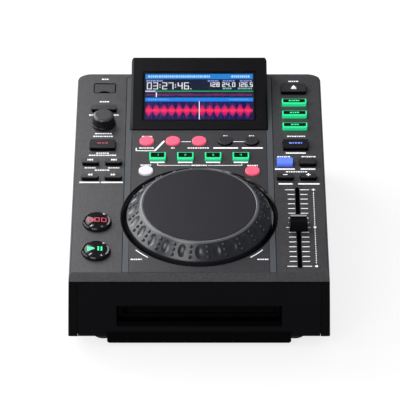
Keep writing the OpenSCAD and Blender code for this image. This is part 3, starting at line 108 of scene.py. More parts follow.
# Matt white paper: no gloss, bleached by the lamps where it is seen, with the player's soft shadow
# left on it. The light that it throws back at the player is that of a slightly grey sheet.
floor_half = 6.0
bleached_share = 0.78
floor_paper, tree = blank("matt_white_paper")
seen = seen_directly(tree)
sheet = add(tree, "Mix", {"data_type": "RGBA", 6: colour("#d9d9d9"), 7: colour("#fdfdfd")},
            {0: (seen, 0)})
paper = add(tree, "BsdfPrincipled", {"Roughness": 0.9, "Specular IOR Level": 0.1},
            {"Base Color": (sheet, 2)})
bleach = add(tree, "Emission", {"Color": colour("#ffffff"), "Strength": 1.0})
share = add(tree, "Math", {"operation": "MULTIPLY", 1: bleached_share}, {0: (seen, 0)})
washed = add(tree, "MixShader", {}, {0: (share, 0), 1: (paper, 0), 2: (bleach, 0)})
add(tree, "OutputMaterial", {}, {"Surface": (washed, 0)})

corners = [(-floor_half, -floor_half, 0), (floor_half, -floor_half, 0),
           (floor_half, floor_half, 0), (-floor_half, floor_half, 0)]
floor_mesh = bpy.data.meshes.new("floor")
floor_mesh.from_pydata(corners, [], [(0, 1, 2, 3)])
floor_mesh.materials.append(floor_paper)
floor = bpy.data.objects.new("floor", floor_mesh)
scene.collection.objects.link(floor)

# White walls that light the player evenly, but look nearly black in its glossy faces.
wall_light, wall_mirrored = 0.76, 0.08
room = bpy.data.worlds.new("studio_walls")
room.use_nodes = True
tree = room.node_tree
tree.nodes.clear()
seen = seen_directly(tree)
level = add(tree, "Mix", {"data_type": "FLOAT", 2: wall_light, 3: wall_mirrored}, {0: (seen, 0)})
walls = add(tree, "Background", {"Color": colour("#fbfcff")}, {"Strength": (level, 0)})
add(tree, "OutputWorld", {}, {"Surface": (walls, 0)})
scene.world = room


def soft_box(name, place, aim, size, power):
    """A rectangular area light of that size, turned so that it shines from place towards aim."""
    lamp = bpy.data.lights.new(name, "AREA")
    lamp.shape = "RECTANGLE"
    lamp.size, lamp.size_y = size
    lamp.energy = power
    box = bpy.data.objects.new(name, lamp)
    box.location = place
    box.rotation_euler = (box.location - aim).to_track_quat("Z", "Y").to_euler()
    box.visible_camera = False
    scene.collection.objects.link(box)


middle = (cad_box[0] + cad_box[1]) / 2
soft_box("window_box", (-0.48, 0.45, 0.50), middle, (0.62, 0.62), 5.6)
soft_box("front_box", (-0.7, -1.4, 1.2), middle, (1.0, 0.8), 9.0)
soft_box("left_ceiling_lamp", (-0.338, 0.425, 1.14), middle, (0.12, 0.05), 0.5)
soft_box("right_ceiling_lamp", (0.098, 0.347, 1.19), middle, (0.06, 0.05), 0.25)
soft_box("side_box", (-0.9, 0.0, 0.52), middle, (0.7, 0.5), 3.6)


# ---- Case: deck moulding, steel tray, feet and screws ----
# The deck, lip and sides are one black ABS moulding, sprayed satin grey on its outside. A black
# powder-coated steel tray closes it from below, on four rubber feet, held with pan screws.
crease = np.array([0.0, -0.136943, 0.070])  # front end of the sloping deck, on its middle line
deck_tilt = radians(6)


def within(tree, where, zones):
    """1 inside any of the zones and 0 elsewhere. A zone is a list of tests that all hold: an axis, more
    or less, and a limit in mm. X, Y and Z are the player's own axes, and U, V and N run across the
    deck, up it from the crease and off it."""
    level = add(tree, "Mapping", {"vector_type": "TEXTURE", "Location": tuple(crease),
                                  "Rotation": (deck_tilt, 0, 0)}, {"Vector": (where, "Object")})
    own = add(tree, "SeparateXYZ", {}, {0: (where, "Object")})
    deck = add(tree, "SeparateXYZ", {}, {0: (level, 0)})
    axes = {"X": (own, "X"), "Y": (own, "Y"), "Z": (own, "Z"),
            "U": (deck, "X"), "V": (deck, "Y"), "N": (deck, "Z")}
    any_zone = None
    for zone in zones:
        whole = None
        for axis, relation, limit in zone:
            test = add(tree, "Math", {"operation": relation + "_THAN", 1: limit / 1000}, {0: axes[axis]})
            if whole is not None:
                test = add(tree, "Math", {"operation": "MULTIPLY"}, {0: (whole, 0), 1: (test, 0)})
            whole = test
        if any_zone is not None:
            whole = add(tree, "Math", {"operation": "MAXIMUM"}, {0: (any_zone, 0), 1: (whole, 0)})
        any_zone = whole
    return any_zone


def moulded(name, tint, roughness, grain=0.9, relief=0.02, gloss=0.5, depth=0.12,
            second=None, zones=()):
    """Moulded plastic, rubber or sprayed steel. grain is the width of the texture's pits and relief
    their depth, in mm, both coarser than the real ones where those would be too fine to show. Of two
    noises one is a grain wide for the pits, which are darker by the share depth, and one 25 times as
    wide for the uneven sheen of a big moulding. second is the tint and gloss inside the zones."""
    uneven_sheen = 0.08
    usual = {"From Min": 0.3, "From Max": 0.7}  # a noise seldom leaves these
    made, tree = blank(name)
    where = add(tree, "TexCoord")
    pits = add(tree, "TexNoise", {"Scale": 1000 / grain, "Detail": 3.0}, {"Vector": (where, "Object")})
    sheen = add(tree, "TexNoise", {"Scale": 40 / grain, "Detail": 2.0}, {"Vector": (where, "Object")})
    level = add(tree, "MapRange", {**usual, "To Min": 1 - depth, "To Max": 1 + depth},
                {"Value": (pits, "Fac")})
    shade = add(tree, "VectorMath", {"operation": "SCALE", 0: colour(tint)[:3]}, {"Scale": (level, 0)})
    links = {"Base Color": (shade, 0)}
    if second:
        inside = within(tree, where, zones)
        second_tint, second_gloss = second
        two_tone = add(tree, "Mix", {"data_type": "RGBA", 7: colour(second_tint)},
                       {0: (inside, 0), 6: (shade, 0)})
        shine = add(tree, "MapRange", {"To Min": gloss, "To Max": second_gloss}, {"Value": (inside, 0)})
        links = {"Base Color": (two_tone, 2), "Specular IOR Level": (shine, 0)}
    smoothest, roughest = roughness * (1 - uneven_sheen), min(roughness * (1 + uneven_sheen), 1.0)
    rough = add(tree, "MapRange", {**usual, "To Min": smoothest, "To Max": roughest},
                {"Value": (sheen, "Fac")})
    bump = add(tree, "Bump", {"Distance": relief / 1000, "Strength": 0.6}, {"Height": (pits, "Fac")})
    face = add(tree, "BsdfPrincipled", {"IOR": 1.53, "Specular IOR Level": gloss},
               {**links, "Roughness": (rough, 0), "Normal": (bump, 0)})
    add(tree, "OutputMaterial", {}, {"Surface": (face, 0)})
    return made


def dress(finish, *names):
    """Gives these CAD nodes that finish."""
    for name in names:
        for slot in nodes[name].material_slots:
            slot.material = finish


# Sprayed ABS with a spark-eroded grain: the sheen runs soft and grainy over the wings. The front got
# no paint, so there the bare plastic looks black. The walls of the holes in the deck are tinted black
# as painted shade, for the dark gaps round the keys.
front_face_y = -145.6
deck_edge_u, deck_front_v = 107.0, 1.0  # the holes lie inside these
painted_shade_depth = 0.15  # depth under the deck surface where the painted shade in the holes begins
bare_front = [("Y", "LESS", front_face_y)]
hole_walls_painted_shade = [("U", "GREATER", -deck_edge_u), ("U", "LESS", deck_edge_u), ("V", "GREATER", deck_front_v),
              ("N", "LESS", -painted_shade_depth)]
dress(moulded("spark_textured_abs", "#363539", 0.42, grain=1.4, relief=0.08, gloss=0.75, depth=0.5,
              second=("#030304", 0.04), zones=[bare_front, hole_walls_painted_shade]), "top_case")

# Powder coat: a deep, dull black with a fine orange-peel surface.
dress(moulded("black_powder_coat", "#030304", 0.6, grain=0.8, relief=0.03, gloss=0.02), "base_tray")

# Neoprene: nearly no shine, a little lighter than the tray.
dress(moulded("black_neoprene", "#131314", 0.85, grain=0.5), "rubber_feet")


def plated(name, tint, roughness, grain=0.4):
    """Bare or plated metal: a noise a grain wide varies its roughness, and its colour a little. grain is
    in mm, and coarser than the real one so that it shows."""
    darkest = 0.85
    made, tree = blank(name)
    where = add(tree, "TexCoord")
    flecks = add(tree, "TexNoise", {"Scale": 1000 / grain, "Detail": 4.0}, {"Vector": (where, "Object")})
    base = np.array(colour(tint))
    shade = add(tree, "Mix", {"data_type": "RGBA", 6: tuple(base * [darkest, darkest, darkest, 1]),
                              7: tuple(base)}, {0: (flecks, "Fac")})
    rough = add(tree, "MapRange", {"To Min": roughness * 0.8, "To Max": min(roughness * 1.2, 1.0)},
                {"Value": (flecks, "Fac")})
    face = add(tree, "BsdfPrincipled", {"Metallic": 1.0},
               {"Base Color": (shade, 2), "Roughness": (rough, 0)})
    add(tree, "OutputMaterial", {}, {"Surface": (face, 0)})
    return made


# Black zinc plating: a dark, slightly milky metal.
dress(plated("black_zinc_screw", "#3a3a3c", 0.45), "case_screws")


# ---- Centre inlay ----
# A darker ABS panel lies flush in the deck between two raised, satin blue-grey trim strips that run
# its whole length. They are clipped in from below.

# Fine-textured ABS: duller and darker than the wings, with a tighter grain.
dress(moulded("fine_textured_abs", "#2e2d32", 0.42, grain=1.1, relief=0.05, gloss=0.75, depth=0.35),
      "control_panel")

# Satin ABS with a trace of blue: a smooth, pale line along the panel. Its outer edge is painted black
# as the shadow of the seam.
strip_edge = 63.9
seam_shadow_edges = [[("U", "GREATER", strip_edge)], [("U", "LESS", -strip_edge)]]
dress(moulded("satin_blue_grey_abs", "#4b4e52", 0.36, grain=0.6, relief=0.008,
              second=("#040405", 0.06), zones=seam_shadow_edges), "side_strips")


# ---- Printed legends on the deck ----
# The scales, lines and underlines are screen-printed on the deck and the inlay in white ink. Where
# the real deck has small words, short dashes of the same length and height stand in. All places are
# in mm on the deck: u from its middle line to the right, and v up it from the crease.
ink_gap = 0.005  # keeps the film's underside just off the plastic
ink_film = 0.04  # top of the film over the plastic, thicker than real ink so that it covers


def on_plane(points, origin, tilt):
    """Points given as (across, up the slope, off it) in mm, turned by tilt about X, moved to origin
    and given in metres."""
    a, b, c = np.asarray(points, float).T / 1000
    return np.stack([a, b * cos(tilt) - c * sin(tilt), b * sin(tilt) + c * cos(tilt)], 1) + origin


def off_plane(points, origin, tilt):
    """The other way: from the player's own axes in metres to (across, up the slope, off it) in mm."""
    x, y, z = (np.asarray(points, float) - origin).T * 1000
    return np.stack([x, y * cos(tilt) + z * sin(tilt), z * cos(tilt) - y * sin(tilt)], 1)


def in_deck(name):
    """A CAD node's vertices as (u across, v up the deck, n off it), in mm."""
    mesh = nodes[name].data
    flat = np.empty(len(mesh.vertices) * 3)
    mesh.vertices.foreach_get("co", flat)
    return off_plane(flat.reshape(-1, 3), crease, deck_tilt)


def piece(name, points, faces, finish, body):
    """A mesh of these points, in metres on the player's own axes, that rides on a body."""
    mesh = bpy.data.meshes.new(name)
    mesh.from_pydata(points.tolist(), [], faces)
    mesh.materials.append(finish)
    made = bpy.data.objects.new(name, mesh)
    scene.collection.objects.link(made)
    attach(made, body)
    return made


def prisms(outlines, low, high):
    """Points and faces of thin closed plates from height low to high. Each outline, its (u, v) corners
    anticlockwise, gives a ring of points at either height, two lids and a wall on every side."""
    points, faces, start = [], [], 0
    for outline in outlines:
        outline = np.asarray(outline, float)
        k = len(outline)
        ring = np.arange(k)
        points += [np.c_[outline, np.full(k, low)], np.c_[outline, np.full(k, high)]]
        after = (ring + 1) % k
        walls = np.stack([ring, after, after + k, ring + k], 1) + start
        faces += [(ring[::-1] + start).tolist(), (ring + k + start).tolist(), *walls.tolist()]
        start += 2 * k
    return np.concatenate(points), faces


def bar(left, low, right, high):
    """A rectangle between two corners."""
    return [(left, low), (right, low), (right, high), (left, high)]


def rules(v, thick, *spans):
    """Printed lines that thick along the height v, each from its left to its right end."""
    return [bar(left, v - thick / 2, right, v + thick / 2) for left, right in spans]


def stroke(a, b, width):
    """A straight line of that width from a to b: both ends moved half a width to each side."""
    a, b = np.array(a, float), np.array(b, float)
    along = (b - a) / np.hypot(*(b - a))
    side = np.array([-along[1], along[0]]) * width / 2
    return [a - side, b - side, b + side, a + side]


def dot(u, v, r, corners=16):
    """A round spot: corners on a circle."""
    turn = np.arange(corners) * 2 * pi / corners
    return np.stack([u + r * np.cos(turn), v + r * np.sin(turn)], 1)


def dashes(left, right, v, height=1.5, dash=1.5, gap=0.55):
    """A row of dashes as long and high as a small word. Their lengths vary about dash with a cosine,
    and are scaled so that the row ends at right."""
    count = max(2, round((right - left + gap) / (dash + gap)))
    share = 1 + 0.35 * np.cos(np.arange(count) * 2.4)
    wide = share * (right - left - gap * (count - 1)) / share.sum()
    start = left + np.concatenate([[0], np.cumsum(wide[:-1] + gap)])
    return [bar(s, v - height / 2, s + w, v + height / 2) for s, w in zip(start, wide)]


def words(*rows):
    """Dashes for printed words. Each row gives a word's left end, right end and height up the deck."""
    return [dash for left, right, v in rows for dash in dashes(left, right, v)]


def arc(u, v, r, first, last, width, steps=10):
    """Part of a ring of that width about (u, v): its outer edge one way and its inner edge back."""
    turn = np.radians(np.linspace(first, last, steps))
    outer = np.stack([u + (r + width / 2) * np.cos(turn), v + (r + width / 2) * np.sin(turn)], 1)
    inner = np.stack([u + (r - width / 2) * np.cos(turn), v + (r - width / 2) * np.sin(turn)], 1)
    return np.concatenate([outer, inner[::-1]])


def ink(name, tint, glow=0.0):
    """Screen-printing ink: matt, slightly uneven in cover. glow lights it from behind."""
    thinnest = 0.94
    patch = 10 / 7  # mm, seven patches of thinner ink to the centimetre
    made, tree = blank(name)
    where = add(tree, "TexCoord")
    cover = add(tree, "TexNoise", {"Scale": 1000 / patch, "Detail": 2.0}, {"Vector": (where, "Object")})
    base = np.array(colour(tint))
    shade = add(tree, "Mix", {"data_type": "RGBA", 6: tuple(base * [thinnest, thinnest, thinnest, 1]),
                              7: tuple(base)}, {0: (cover, "Fac")})
    links = {"Base Color": (shade, 2)}
    if glow:
        links["Emission Color"] = (shade, 2)
    face = add(tree, "BsdfPrincipled", {"Roughness": 0.6, "Emission Strength": glow}, links)
    add(tree, "OutputMaterial", {}, {"Surface": (face, 0)})
    return made


# White ink: a flat, dull white that stands out from the sheen of the deck.
white_ink = ink("white_screen_ink", "#ffffff")

thick_line = 1.8

# left wing, from the back: a name over the memory socket and one over the back key, signs on both
# sides of the knob, and names in two lines over the reverse key, the track keys and the search keys
left_marks = (
    words((-86.6, -80.8, 268.8), (-87.8, -79.6, 235.4))
    + words((-96.7, -92.7, 215.9), (-74.8, -70.8, 215.9))
    + words((-90.8, -76.4, 189.0), (-92.3, -75.3, 185.1))
    + words((-89.1, -78.2, 161.2), (-95.3, -71.9, 158.2))
    + words((-98.5, -89.2, 140.5), (-78.4, -68.8, 140.5), (-89.8, -77.3, 137.3))
    + rules(120.3, thick_line, (-102.5, -85.2), (-84.1, -65.3))
)

# right wing: the scale of the pitch fader. Ticks stand on both sides of its slot, longer at the ends
# and in the middle. A dotted line beside them runs from a cross at the back to a round spot in front,
# with one more spot at the middle.
tick = 0.8
tick_count = 17
dotted_u = 97.5
spot_r = 1.3
cross_v = 110.0
fader_scale = []
for i, v in enumerate(np.linspace(110.1, 7.8, tick_count)):
    main_tick = i in (0, tick_count // 2, tick_count - 1)
    fader_scale += rules(v, tick, (73.3 if main_tick else 75.4, 81.3), (86.1, 93.8 if main_tick else 92.3))
for v in np.linspace(105.5, 12.5, 32):
    fader_scale += rules(v, 1.7, (97.1, 97.8))
fader_scale += [dot(dotted_u, 59.4, spot_r), dot(dotted_u, 7.9, spot_r)]
fader_scale += rules(cross_v, tick, (dotted_u - 1.6, dotted_u + 1.6))
fader_scale += rules(cross_v, 3.2, (dotted_u - tick / 2, dotted_u + tick / 2))

# and from the back: names over the eject key, the jog mode key, the key lock and tap keys and the
# bend keys, with a thick line under each row
right_marks = (
    words((79.5, 88.1, 265.6), (76.5, 92.3, 185.1))
    + rules(161.3, thick_line, (75.1, 92.3))
    + words((67.5, 78.5, 156.2), (88.5, 100.5, 156.2))
    + rules(138.8, thick_line, (65.3, 82.4), (87.3, 100.0))
    + words((74.6, 92.8, 135.0))
    + rules(118.2, thick_line, (67.9, 80.0), (84.7, 103.0))
    + fader_scale
)

# centre, the round keys: a line that climbs from the first to the second, links between the pairs,
# names or short bars over them, and names or thick lines under them
link_v = 177.5
round_key_marks = (
    [stroke((-54.6, 168.6), (-54.6, 164.6), 0.9), stroke((-54.8, 164.6), (-38.2, 164.6), 0.9),
     stroke((-38.6, 164.4), (-30.4, 178.5), thick_line)]
    + [stroke((-15.6, link_v), (-7.0, link_v), 0.7), stroke((29.4, link_v), (39.4, link_v), 0.7)]
    + words((-49.8, -40.9, 184.9)) + rules(184.9, 1.0, (-23.9, -21.3), (-1.3, 1.3))
    + dashes(21.0, 24.6, 185.6, dash=1.2) + dashes(43.4, 47.8, 185.6, dash=1.2)
    + words((-52.0, -39.5, 168.5), (-24.3, -21.3, 168.5), (-10.0, 8.5, 168.5))
    + rules(168.5, thick_line, (12.2, 33.8), (37.1, 55.2))
)

# centre, the numbered keys: a thick line under each, and under them all a bracket about a name
cue_pitch = 24.0
bracket_left, bracket_right, bracket_line = -36.1, 37.1, 0.6
bracket_low, bracket_high = 143.7, 146.6
numbered_key_marks = (
    rules(148.3, thick_line, *((i * cue_pitch - 6.2, i * cue_pitch + 6.2) for i in (-1.5, -0.5, 0.5, 1.5)))
    + rules(bracket_low + bracket_line / 2, bracket_line, (bracket_left, -7.5), (7.5, bracket_right))
    + [bar(bracket_left, bracket_low, bracket_left + bracket_line, bracket_high),
       bar(bracket_right - bracket_line, bracket_low, bracket_right, bracket_high)]
    + words((-6.6, 6.6, 144.0))
)

# centre, round the wheel: names over the two keys beside it, and in front two small arcs, one for
# each way of turning, with a name at the end of either
wheel_v = 73.8
arc_r = 69.2
wheel_marks = (
    words((-50.5, -41.5, 144.4), (41.5, 50.5, 143.8))
    + [arc(0, wheel_v, arc_r, 220, 232, 0.9), arc(0, wheel_v, arc_r, 308, 320, 0.9)]
    + words((-57.0, -47.8, 16.8), (48.4, 57.6, 16.8))
)
centre_marks = round_key_marks + numbered_key_marks + wheel_marks

panel_top = in_deck("control_panel")[:, 2].max()
for name, marks, height in (("left_legends", left_marks, 0.0), ("right_legends", right_marks, 0.0),
                            ("centre_legends", centre_marks, panel_top)):
    points, faces = prisms(marks, height + ink_gap, height + ink_film)
    piece(name, on_plane(points, crease, deck_tilt), faces, white_ink, "case")


# ---- Display pod ----
# A black ABS wedge stands on the back of the deck and holds a liquid crystal module behind a clear
# acrylic window. The lit picture is a thin layer on the module, of plain figures and a sound curve.

# Satin ABS: an even, deep black with a soft edge of light along its rim.
dress(moulded("satin_black_abs", "#09090d", 0.42, grain=0.7, relief=0.01, gloss=0.15), "display_housing")


def clear(name, tint):
    """Clear plastic: light passes through, tinted, and a noise hazes the polished surface a little."""
    polish = 0.02
    patch = 100 / 9  # mm, nine hazed patches to ten centimetres
    made, tree = blank(name)
    where = add(tree, "TexCoord")
    haze = add(tree, "TexNoise", {"Scale": 1000 / patch, "Detail": 3.0}, {"Vector": (where, "Object")})
    rough = add(tree, "MapRange", {"To Min": polish, "To Max": 2.5 * polish}, {"Value": (haze, "Fac")})
    face = add(tree, "BsdfPrincipled", {"Base Color": colour(tint), "IOR": 1.49, "Transmission Weight": 1.0,
                                        "Specular IOR Level": 0.05}, {"Roughness": (rough, 0)})
    add(tree, "OutputMaterial", {}, {"Surface": (face, 0)})
    return made


# Coated acrylic: the picture shows through it undimmed, with hardly a reflection.
dress(clear("clear_acrylic", "#f4f4f8"), "display_window")

# Painted metal frame of the display: a black border about the picture.
dress(moulded("black_lcd_frame", "#0a0a0e", 0.5), "lcd_module")

# Places on the display's face are in mm, across from its middle line and up its slope. The origin is
# the module's point that is highest off that slope, moved to the middle line.
pod_tilt = radians(10.66)
face_tilt = deck_tilt + pod_tilt
module_points = np.array([v.co for v in nodes["lcd_module"].data.vertices])
highest = np.argmax(off_plane(module_points, crease, face_tilt)[:, 2])
face_origin = module_points[highest] * (0, 1, 1)
module = off_plane(module_points, face_origin, face_tilt)
picture_w, picture_h = 95.04, 54.8  # as wide as a 4.3 inch display's lit area
frame_low = 4.0  # the frame's lower border
picture_low = module[:, 1].min() + frame_low
picture_gap = 0.01
layer_t = 0.02

# Each lit rectangle is (left, top, right, bottom) as shares of the picture from its upper left
# corner, with a colour and a layer. A higher layer covers those under it.
lit, tints, layers = [], [], []


def light(boxes, tint, layer=1):
    """Adds rectangles of one colour to the picture."""
    boxes = np.atleast_2d(np.asarray(boxes, float))
    lit.append(boxes)
    tints.append(np.tile(colour(tint), (len(boxes), 1)))
    layers.append(np.full(len(boxes), layer))


segments = {"0": "abcdef", "1": "bc", "2": "abdeg", "3": "abcdg", "4": "bcfg",
            "5": "acdfg", "6": "acdefg", "7": "abc", "8": "abcdefg", "9": "abcdfg"}


def figure(number, left, top, width, height, thick=0.2):
    """The bars of a seven-segment figure inside a box, with y downwards. The upright bars are thick
    times the box's width, and the flat ones 0.55 of thick times its height."""
    w = thick * width
    h = 0.55 * thick * height
    mid = top + height / 2
    places = {"a": (left, top, left + width, top + h),
              "b": (left + width - w, top, left + width, mid),
              "c": (left + width - w, mid, left + width, top + height),
              "d": (left, top + height - h, left + width, top + height),
              "e": (left, mid, left + w, top + height),
              "f": (left, top, left + w, mid),
              "g": (left, mid - h / 2, left + width, mid + h / 2)}
    return [places[s] for s in segments[number]]


def figures(text, left, top, width, height, pitch, thick=0.2):
    """A row of figures, one pitch apart. A dot or colon takes 0.45 of a pitch: its spots go from one
    share of the figures' height to another."""
    spots = {".": [(0.86, 1.0)], ":": [(0.28, 0.42), (0.62, 0.76)]}
    boxes, x = [], left
    for sign in text:
        if sign in spots:
            boxes += [(x, top + height * a, x + width * 0.22, top + height * b) for a, b in spots[sign]]
            x += pitch * 0.45
        else:
            boxes += figure(sign, x, top, width, height, thick)
            x += pitch
    return boxes


def small_words(top, height, *spans):
    """Dashes that high for small words on the picture, each from its left to its right end."""
    return [(d[0][0], top, d[1][0], top + height)
            for left, right in spans for d in dashes(left, right, 0, 1, dash=0.014, gap=0.006)]


def curve(x, middle, reach, width):
    """Upright bars of a sound curve at x: each goes as far over the middle as under it."""
    return np.stack([x, middle - reach, x + width, middle + reach], 1)


# navy ground; a blue title bar with two small words; and a row of headings
title_h = 0.112
light((0.0, 0.0, 1.0, 1.0), "#02102e", 0)
light((0.0, 0.0, 1.0, title_h), "#1a86dc")
light(small_words(0.034, 0.045, (0.025, 0.60), (0.80, 0.97)), "#bfe6ff", 2)
light(small_words(0.135, 0.034, (0.01, 0.16)), "#9fb4ec")
light(small_words(0.135, 0.034, (0.58, 0.68), (0.72, 0.83), (0.88, 0.99)), "#8f9fdc")

# the time in large figures, three counts in small ones, and two small words under those
figure_top = 0.188
count_h, count_thick = 0.095, 0.26
light(figures("03:27:46.", 0.014, figure_top, 0.045, 0.15, 0.0585, 0.19), "#ffffff")
light(figures("128", 0.585, figure_top, 0.028, count_h, 0.038, count_thick), "#ffffff")
light(figures("24.0", 0.715, figure_top, 0.028, count_h, 0.038, count_thick), "#ffffff")
light(figures("126.5", 0.855, figure_top, 0.026, count_h, 0.034, count_thick), "#ffffff")
light(small_words(0.302, 0.034, (0.72, 0.80), (0.86, 0.99)), "#7fc8c0")

# a green line, pale as far as the track is played
played = 0.095
line_top, line_low = 0.366, 0.394
light((0.0, line_top, 1.0, line_low), "#1c9e58")
light((0.0, line_top, played, line_low), "#cfe0ff", 2)

# overview of the whole track: a low, dense curve with a white marker
x = np.linspace(0.01, 0.985, 120)
swing = 0.5 + 0.5 * np.abs(np.sin(x * 41) * np.cos(x * 13 + 1))
light((0.0, 0.402, 1.0, 0.515), "#060a3a")
light(curve(x, 0.458, 0.03 * swing, 0.0065), "#7a2462", 2)
light((0.098, 0.405, 0.108, 0.51), "#ffffff", 3)

# a blue bar with two small words
light((0.0, 0.52, 1.0, 0.602), "#0c86ea")
light(small_words(0.546, 0.03, (0.03, 0.22), (0.78, 0.95)), "#4fb0f8", 2)

# the near sound curve on indigo ground, with grid lines and a white playhead: beats that swell and
# die away about its middle, ragged at the edge, in three tones from dim outside to bright inside
near_top, near_middle = 0.61, 0.8
beats_shown = 14.2
light((0.0, near_top, 1.0, 1.0), "#07044a")
for grid_x in np.linspace(0.06, 0.94, 12):
    light((grid_x, near_top, grid_x + 0.003, 1.0), "#2340c0", 2)
x = np.linspace(0.004, 0.99, 250)
beat = (x * beats_shown) % 1.0
ragged = 0.66 + 0.34 * np.abs(np.sin(x * 611) * np.cos(x * 237))
burst = np.clip(1.15 - np.abs(beat - 0.45) * 1.9, 0.16, 1) * ragged
for layer, (reach, tone) in enumerate(((0.175, "#7a0a70"), (0.125, "#d80c54"), (0.05, "#ff2c62")), 3):
    light(curve(x, near_middle, reach * burst, 0.0042), tone, layer)
light((0.497, 0.60, 0.505, 1.0), "#ffffff", 6)

lit, tints, layers = np.concatenate(lit), np.concatenate(tints), np.concatenate(layers)
outlines = [bar((left - 0.5) * picture_w, picture_low + (1 - low) * picture_h,
                (right - 0.5) * picture_w, picture_low + (1 - top) * picture_h)
            for left, top, right, low in lit]
points, faces = prisms(outlines, 0.0, layer_t)
plate_corners = 8
points[:, 2] += np.repeat(layers, plate_corners) * layer_t + picture_gap


def lit_layer(name, strength):
    """A backlit colour layer: it shines in the colour that the mesh carries at each corner."""
    patch = 2.5  # mm across a duller patch of its surface
    made, tree = blank(name)
    where = add(tree, "TexCoord")
    drawn = add(tree, "Attribute", {"attribute_name": "glow"})
    haze = add(tree, "TexNoise", {"Scale": 1000 / patch, "Detail": 2.0}, {"Vector": (where, "Object")})
    rough = add(tree, "MapRange", {"To Min": 0.3, "To Max": 0.5}, {"Value": (haze, "Fac")})
    face = add(tree, "BsdfPrincipled", {"Base Color": colour("#050508"), "Emission Strength": strength},
               {"Roughness": (rough, 0), "Emission Color": (drawn, "Color")})
    add(tree, "OutputMaterial", {}, {"Surface": (face, 0)})
    return made


# Backlit liquid crystal: saturated colours, a little brighter than the room's white paper.
picture = piece("screen_picture", on_plane(points, face_origin, face_tilt), faces,
                lit_layer("backlit_lcd_picture", 1.15), "case")
glow = picture.data.color_attributes.new("glow", "FLOAT_COLOR", "CORNER")
corners_each = len(picture.data.loops) // len(tints)
glow.data.foreach_set("color", np.repeat(tints, corners_each, 0).ravel())


# ---- Jog wheel ----
# A grey ABS rim with finger dimples and small grip bumps turns in a glossy black well. A dark
# anodised aluminium touch plate with fine turned rings is bonded on its middle.

# Glossy ABS: a deep black gap round the wheel, which mirrors a little of the rim.
dress(moulded("gloss_black_abs", "#040405", 0.14, grain=1.2, relief=0.004, gloss=1.0), "jog_well")


def from_hub(tree, where):
    """Distance from the wheel's axis in metres: the root of the sum of the squares of the distances
    across and up the deck."""
    hub = on_plane([(0, wheel_v, 0)], crease, deck_tilt)[0]
    level = add(tree, "Mapping", {"vector_type": "TEXTURE", "Location": tuple(hub),
                                  "Rotation": (deck_tilt, 0, 0)}, {"Vector": (where, "Object")})
    spot = add(tree, "SeparateXYZ", {}, {0: (level, 0)})
    across = add(tree, "Math", {"operation": "MULTIPLY"}, {0: (spot, "X"), 1: (spot, "X")})
    reach = add(tree, "Math", {"operation": "MULTIPLY_ADD"}, {0: (spot, "Y"), 1: (spot, "Y"), 2: (across, 0)})
    return add(tree, "Math", {"operation": "SQRT"}, {0: (reach, 0)})


# ABS with metallic flakes: a dark, bluish grey that glitters finely and shines on its dimples and
# bumps. The bevelled ring next to the touch plate is a paler grey. The flakes are drawn larger than
# real ones, which would be too fine to show.
bevel_r = 50.7
flake = 10 / 14  # mm, fourteen flakes to the centimetre
rim, tree = blank("metallic_grey_abs")
where = add(tree, "TexCoord")
mica = add(tree, "TexNoise", {"Scale": 1000 / flake, "Detail": 3.0}, {"Vector": (where, "Object")})
shade = add(tree, "Mix", {"data_type": "RGBA", 6: colour("#1d1e23"), 7: colour("#2b2c33")},
            {0: (mica, "Fac")})
bevel = add(tree, "Math", {"operation": "LESS_THAN", 1: bevel_r / 1000}, {0: (from_hub(tree, where), 0)})
two_tone = add(tree, "Mix", {"data_type": "RGBA", 7: colour("#5a5a5f")}, {0: (bevel, 0), 6: (shade, 2)})
bump = add(tree, "Bump", {"Distance": 0.000006, "Strength": 0.5}, {"Height": (mica, "Fac")})
skin = add(tree, "BsdfPrincipled", {"Roughness": 0.3, "IOR": 1.53, "Specular IOR Level": 0.75},
           {"Base Color": (two_tone, 2), "Normal": (bump, 0)})
add(tree, "OutputMaterial", {}, {"Surface": (skin, 0)})
dress(rim, "jog_rim")

# Dark anodised aluminium: matt, nearly even grey. The turned rings are drawn wider apart and the
# grit coarser than the real ones, which would be too fine to show.
ring_pitch = 0.9
grit_width = 10 / 9  # mm, nine grains to the centimetre
turned, tree = blank("dark_anodised_aluminium")
where = add(tree, "TexCoord")
radius = from_hub(tree, where)
rings = add(tree, "Math", {"operation": "MULTIPLY", 1: 2 * pi * 1000 / ring_pitch}, {0: (radius, 0)})
wave = add(tree, "Math", {"operation": "SINE"}, {0: (rings, 0)})
grit = add(tree, "TexNoise", {"Scale": 1000 / grit_width, "Detail": 3.0}, {"Vector": (where, "Object")})
shade = add(tree, "Mix", {"data_type": "RGBA", 6: colour("#29282d"), 7: colour("#343338")},
            {0: (grit, "Fac")})
bump = add(tree, "Bump", {"Distance": 0.000004, "Strength": 0.4}, {"Height": (wave, 0)})
plate = add(tree, "BsdfPrincipled", {"Metallic": 0.35, "Roughness": 0.38},
            {"Base Color": (shade, 2), "Normal": (bump, 0)})
add(tree, "OutputMaterial", {}, {"Surface": (plate, 0)})
dress(turned, "touch_disc")

# Turned steel: bright and bare.
dress(plated("turned_steel", "#c4c5c8", 0.25), "jog_shaft", "encoder_sleeve", "lead_screw")


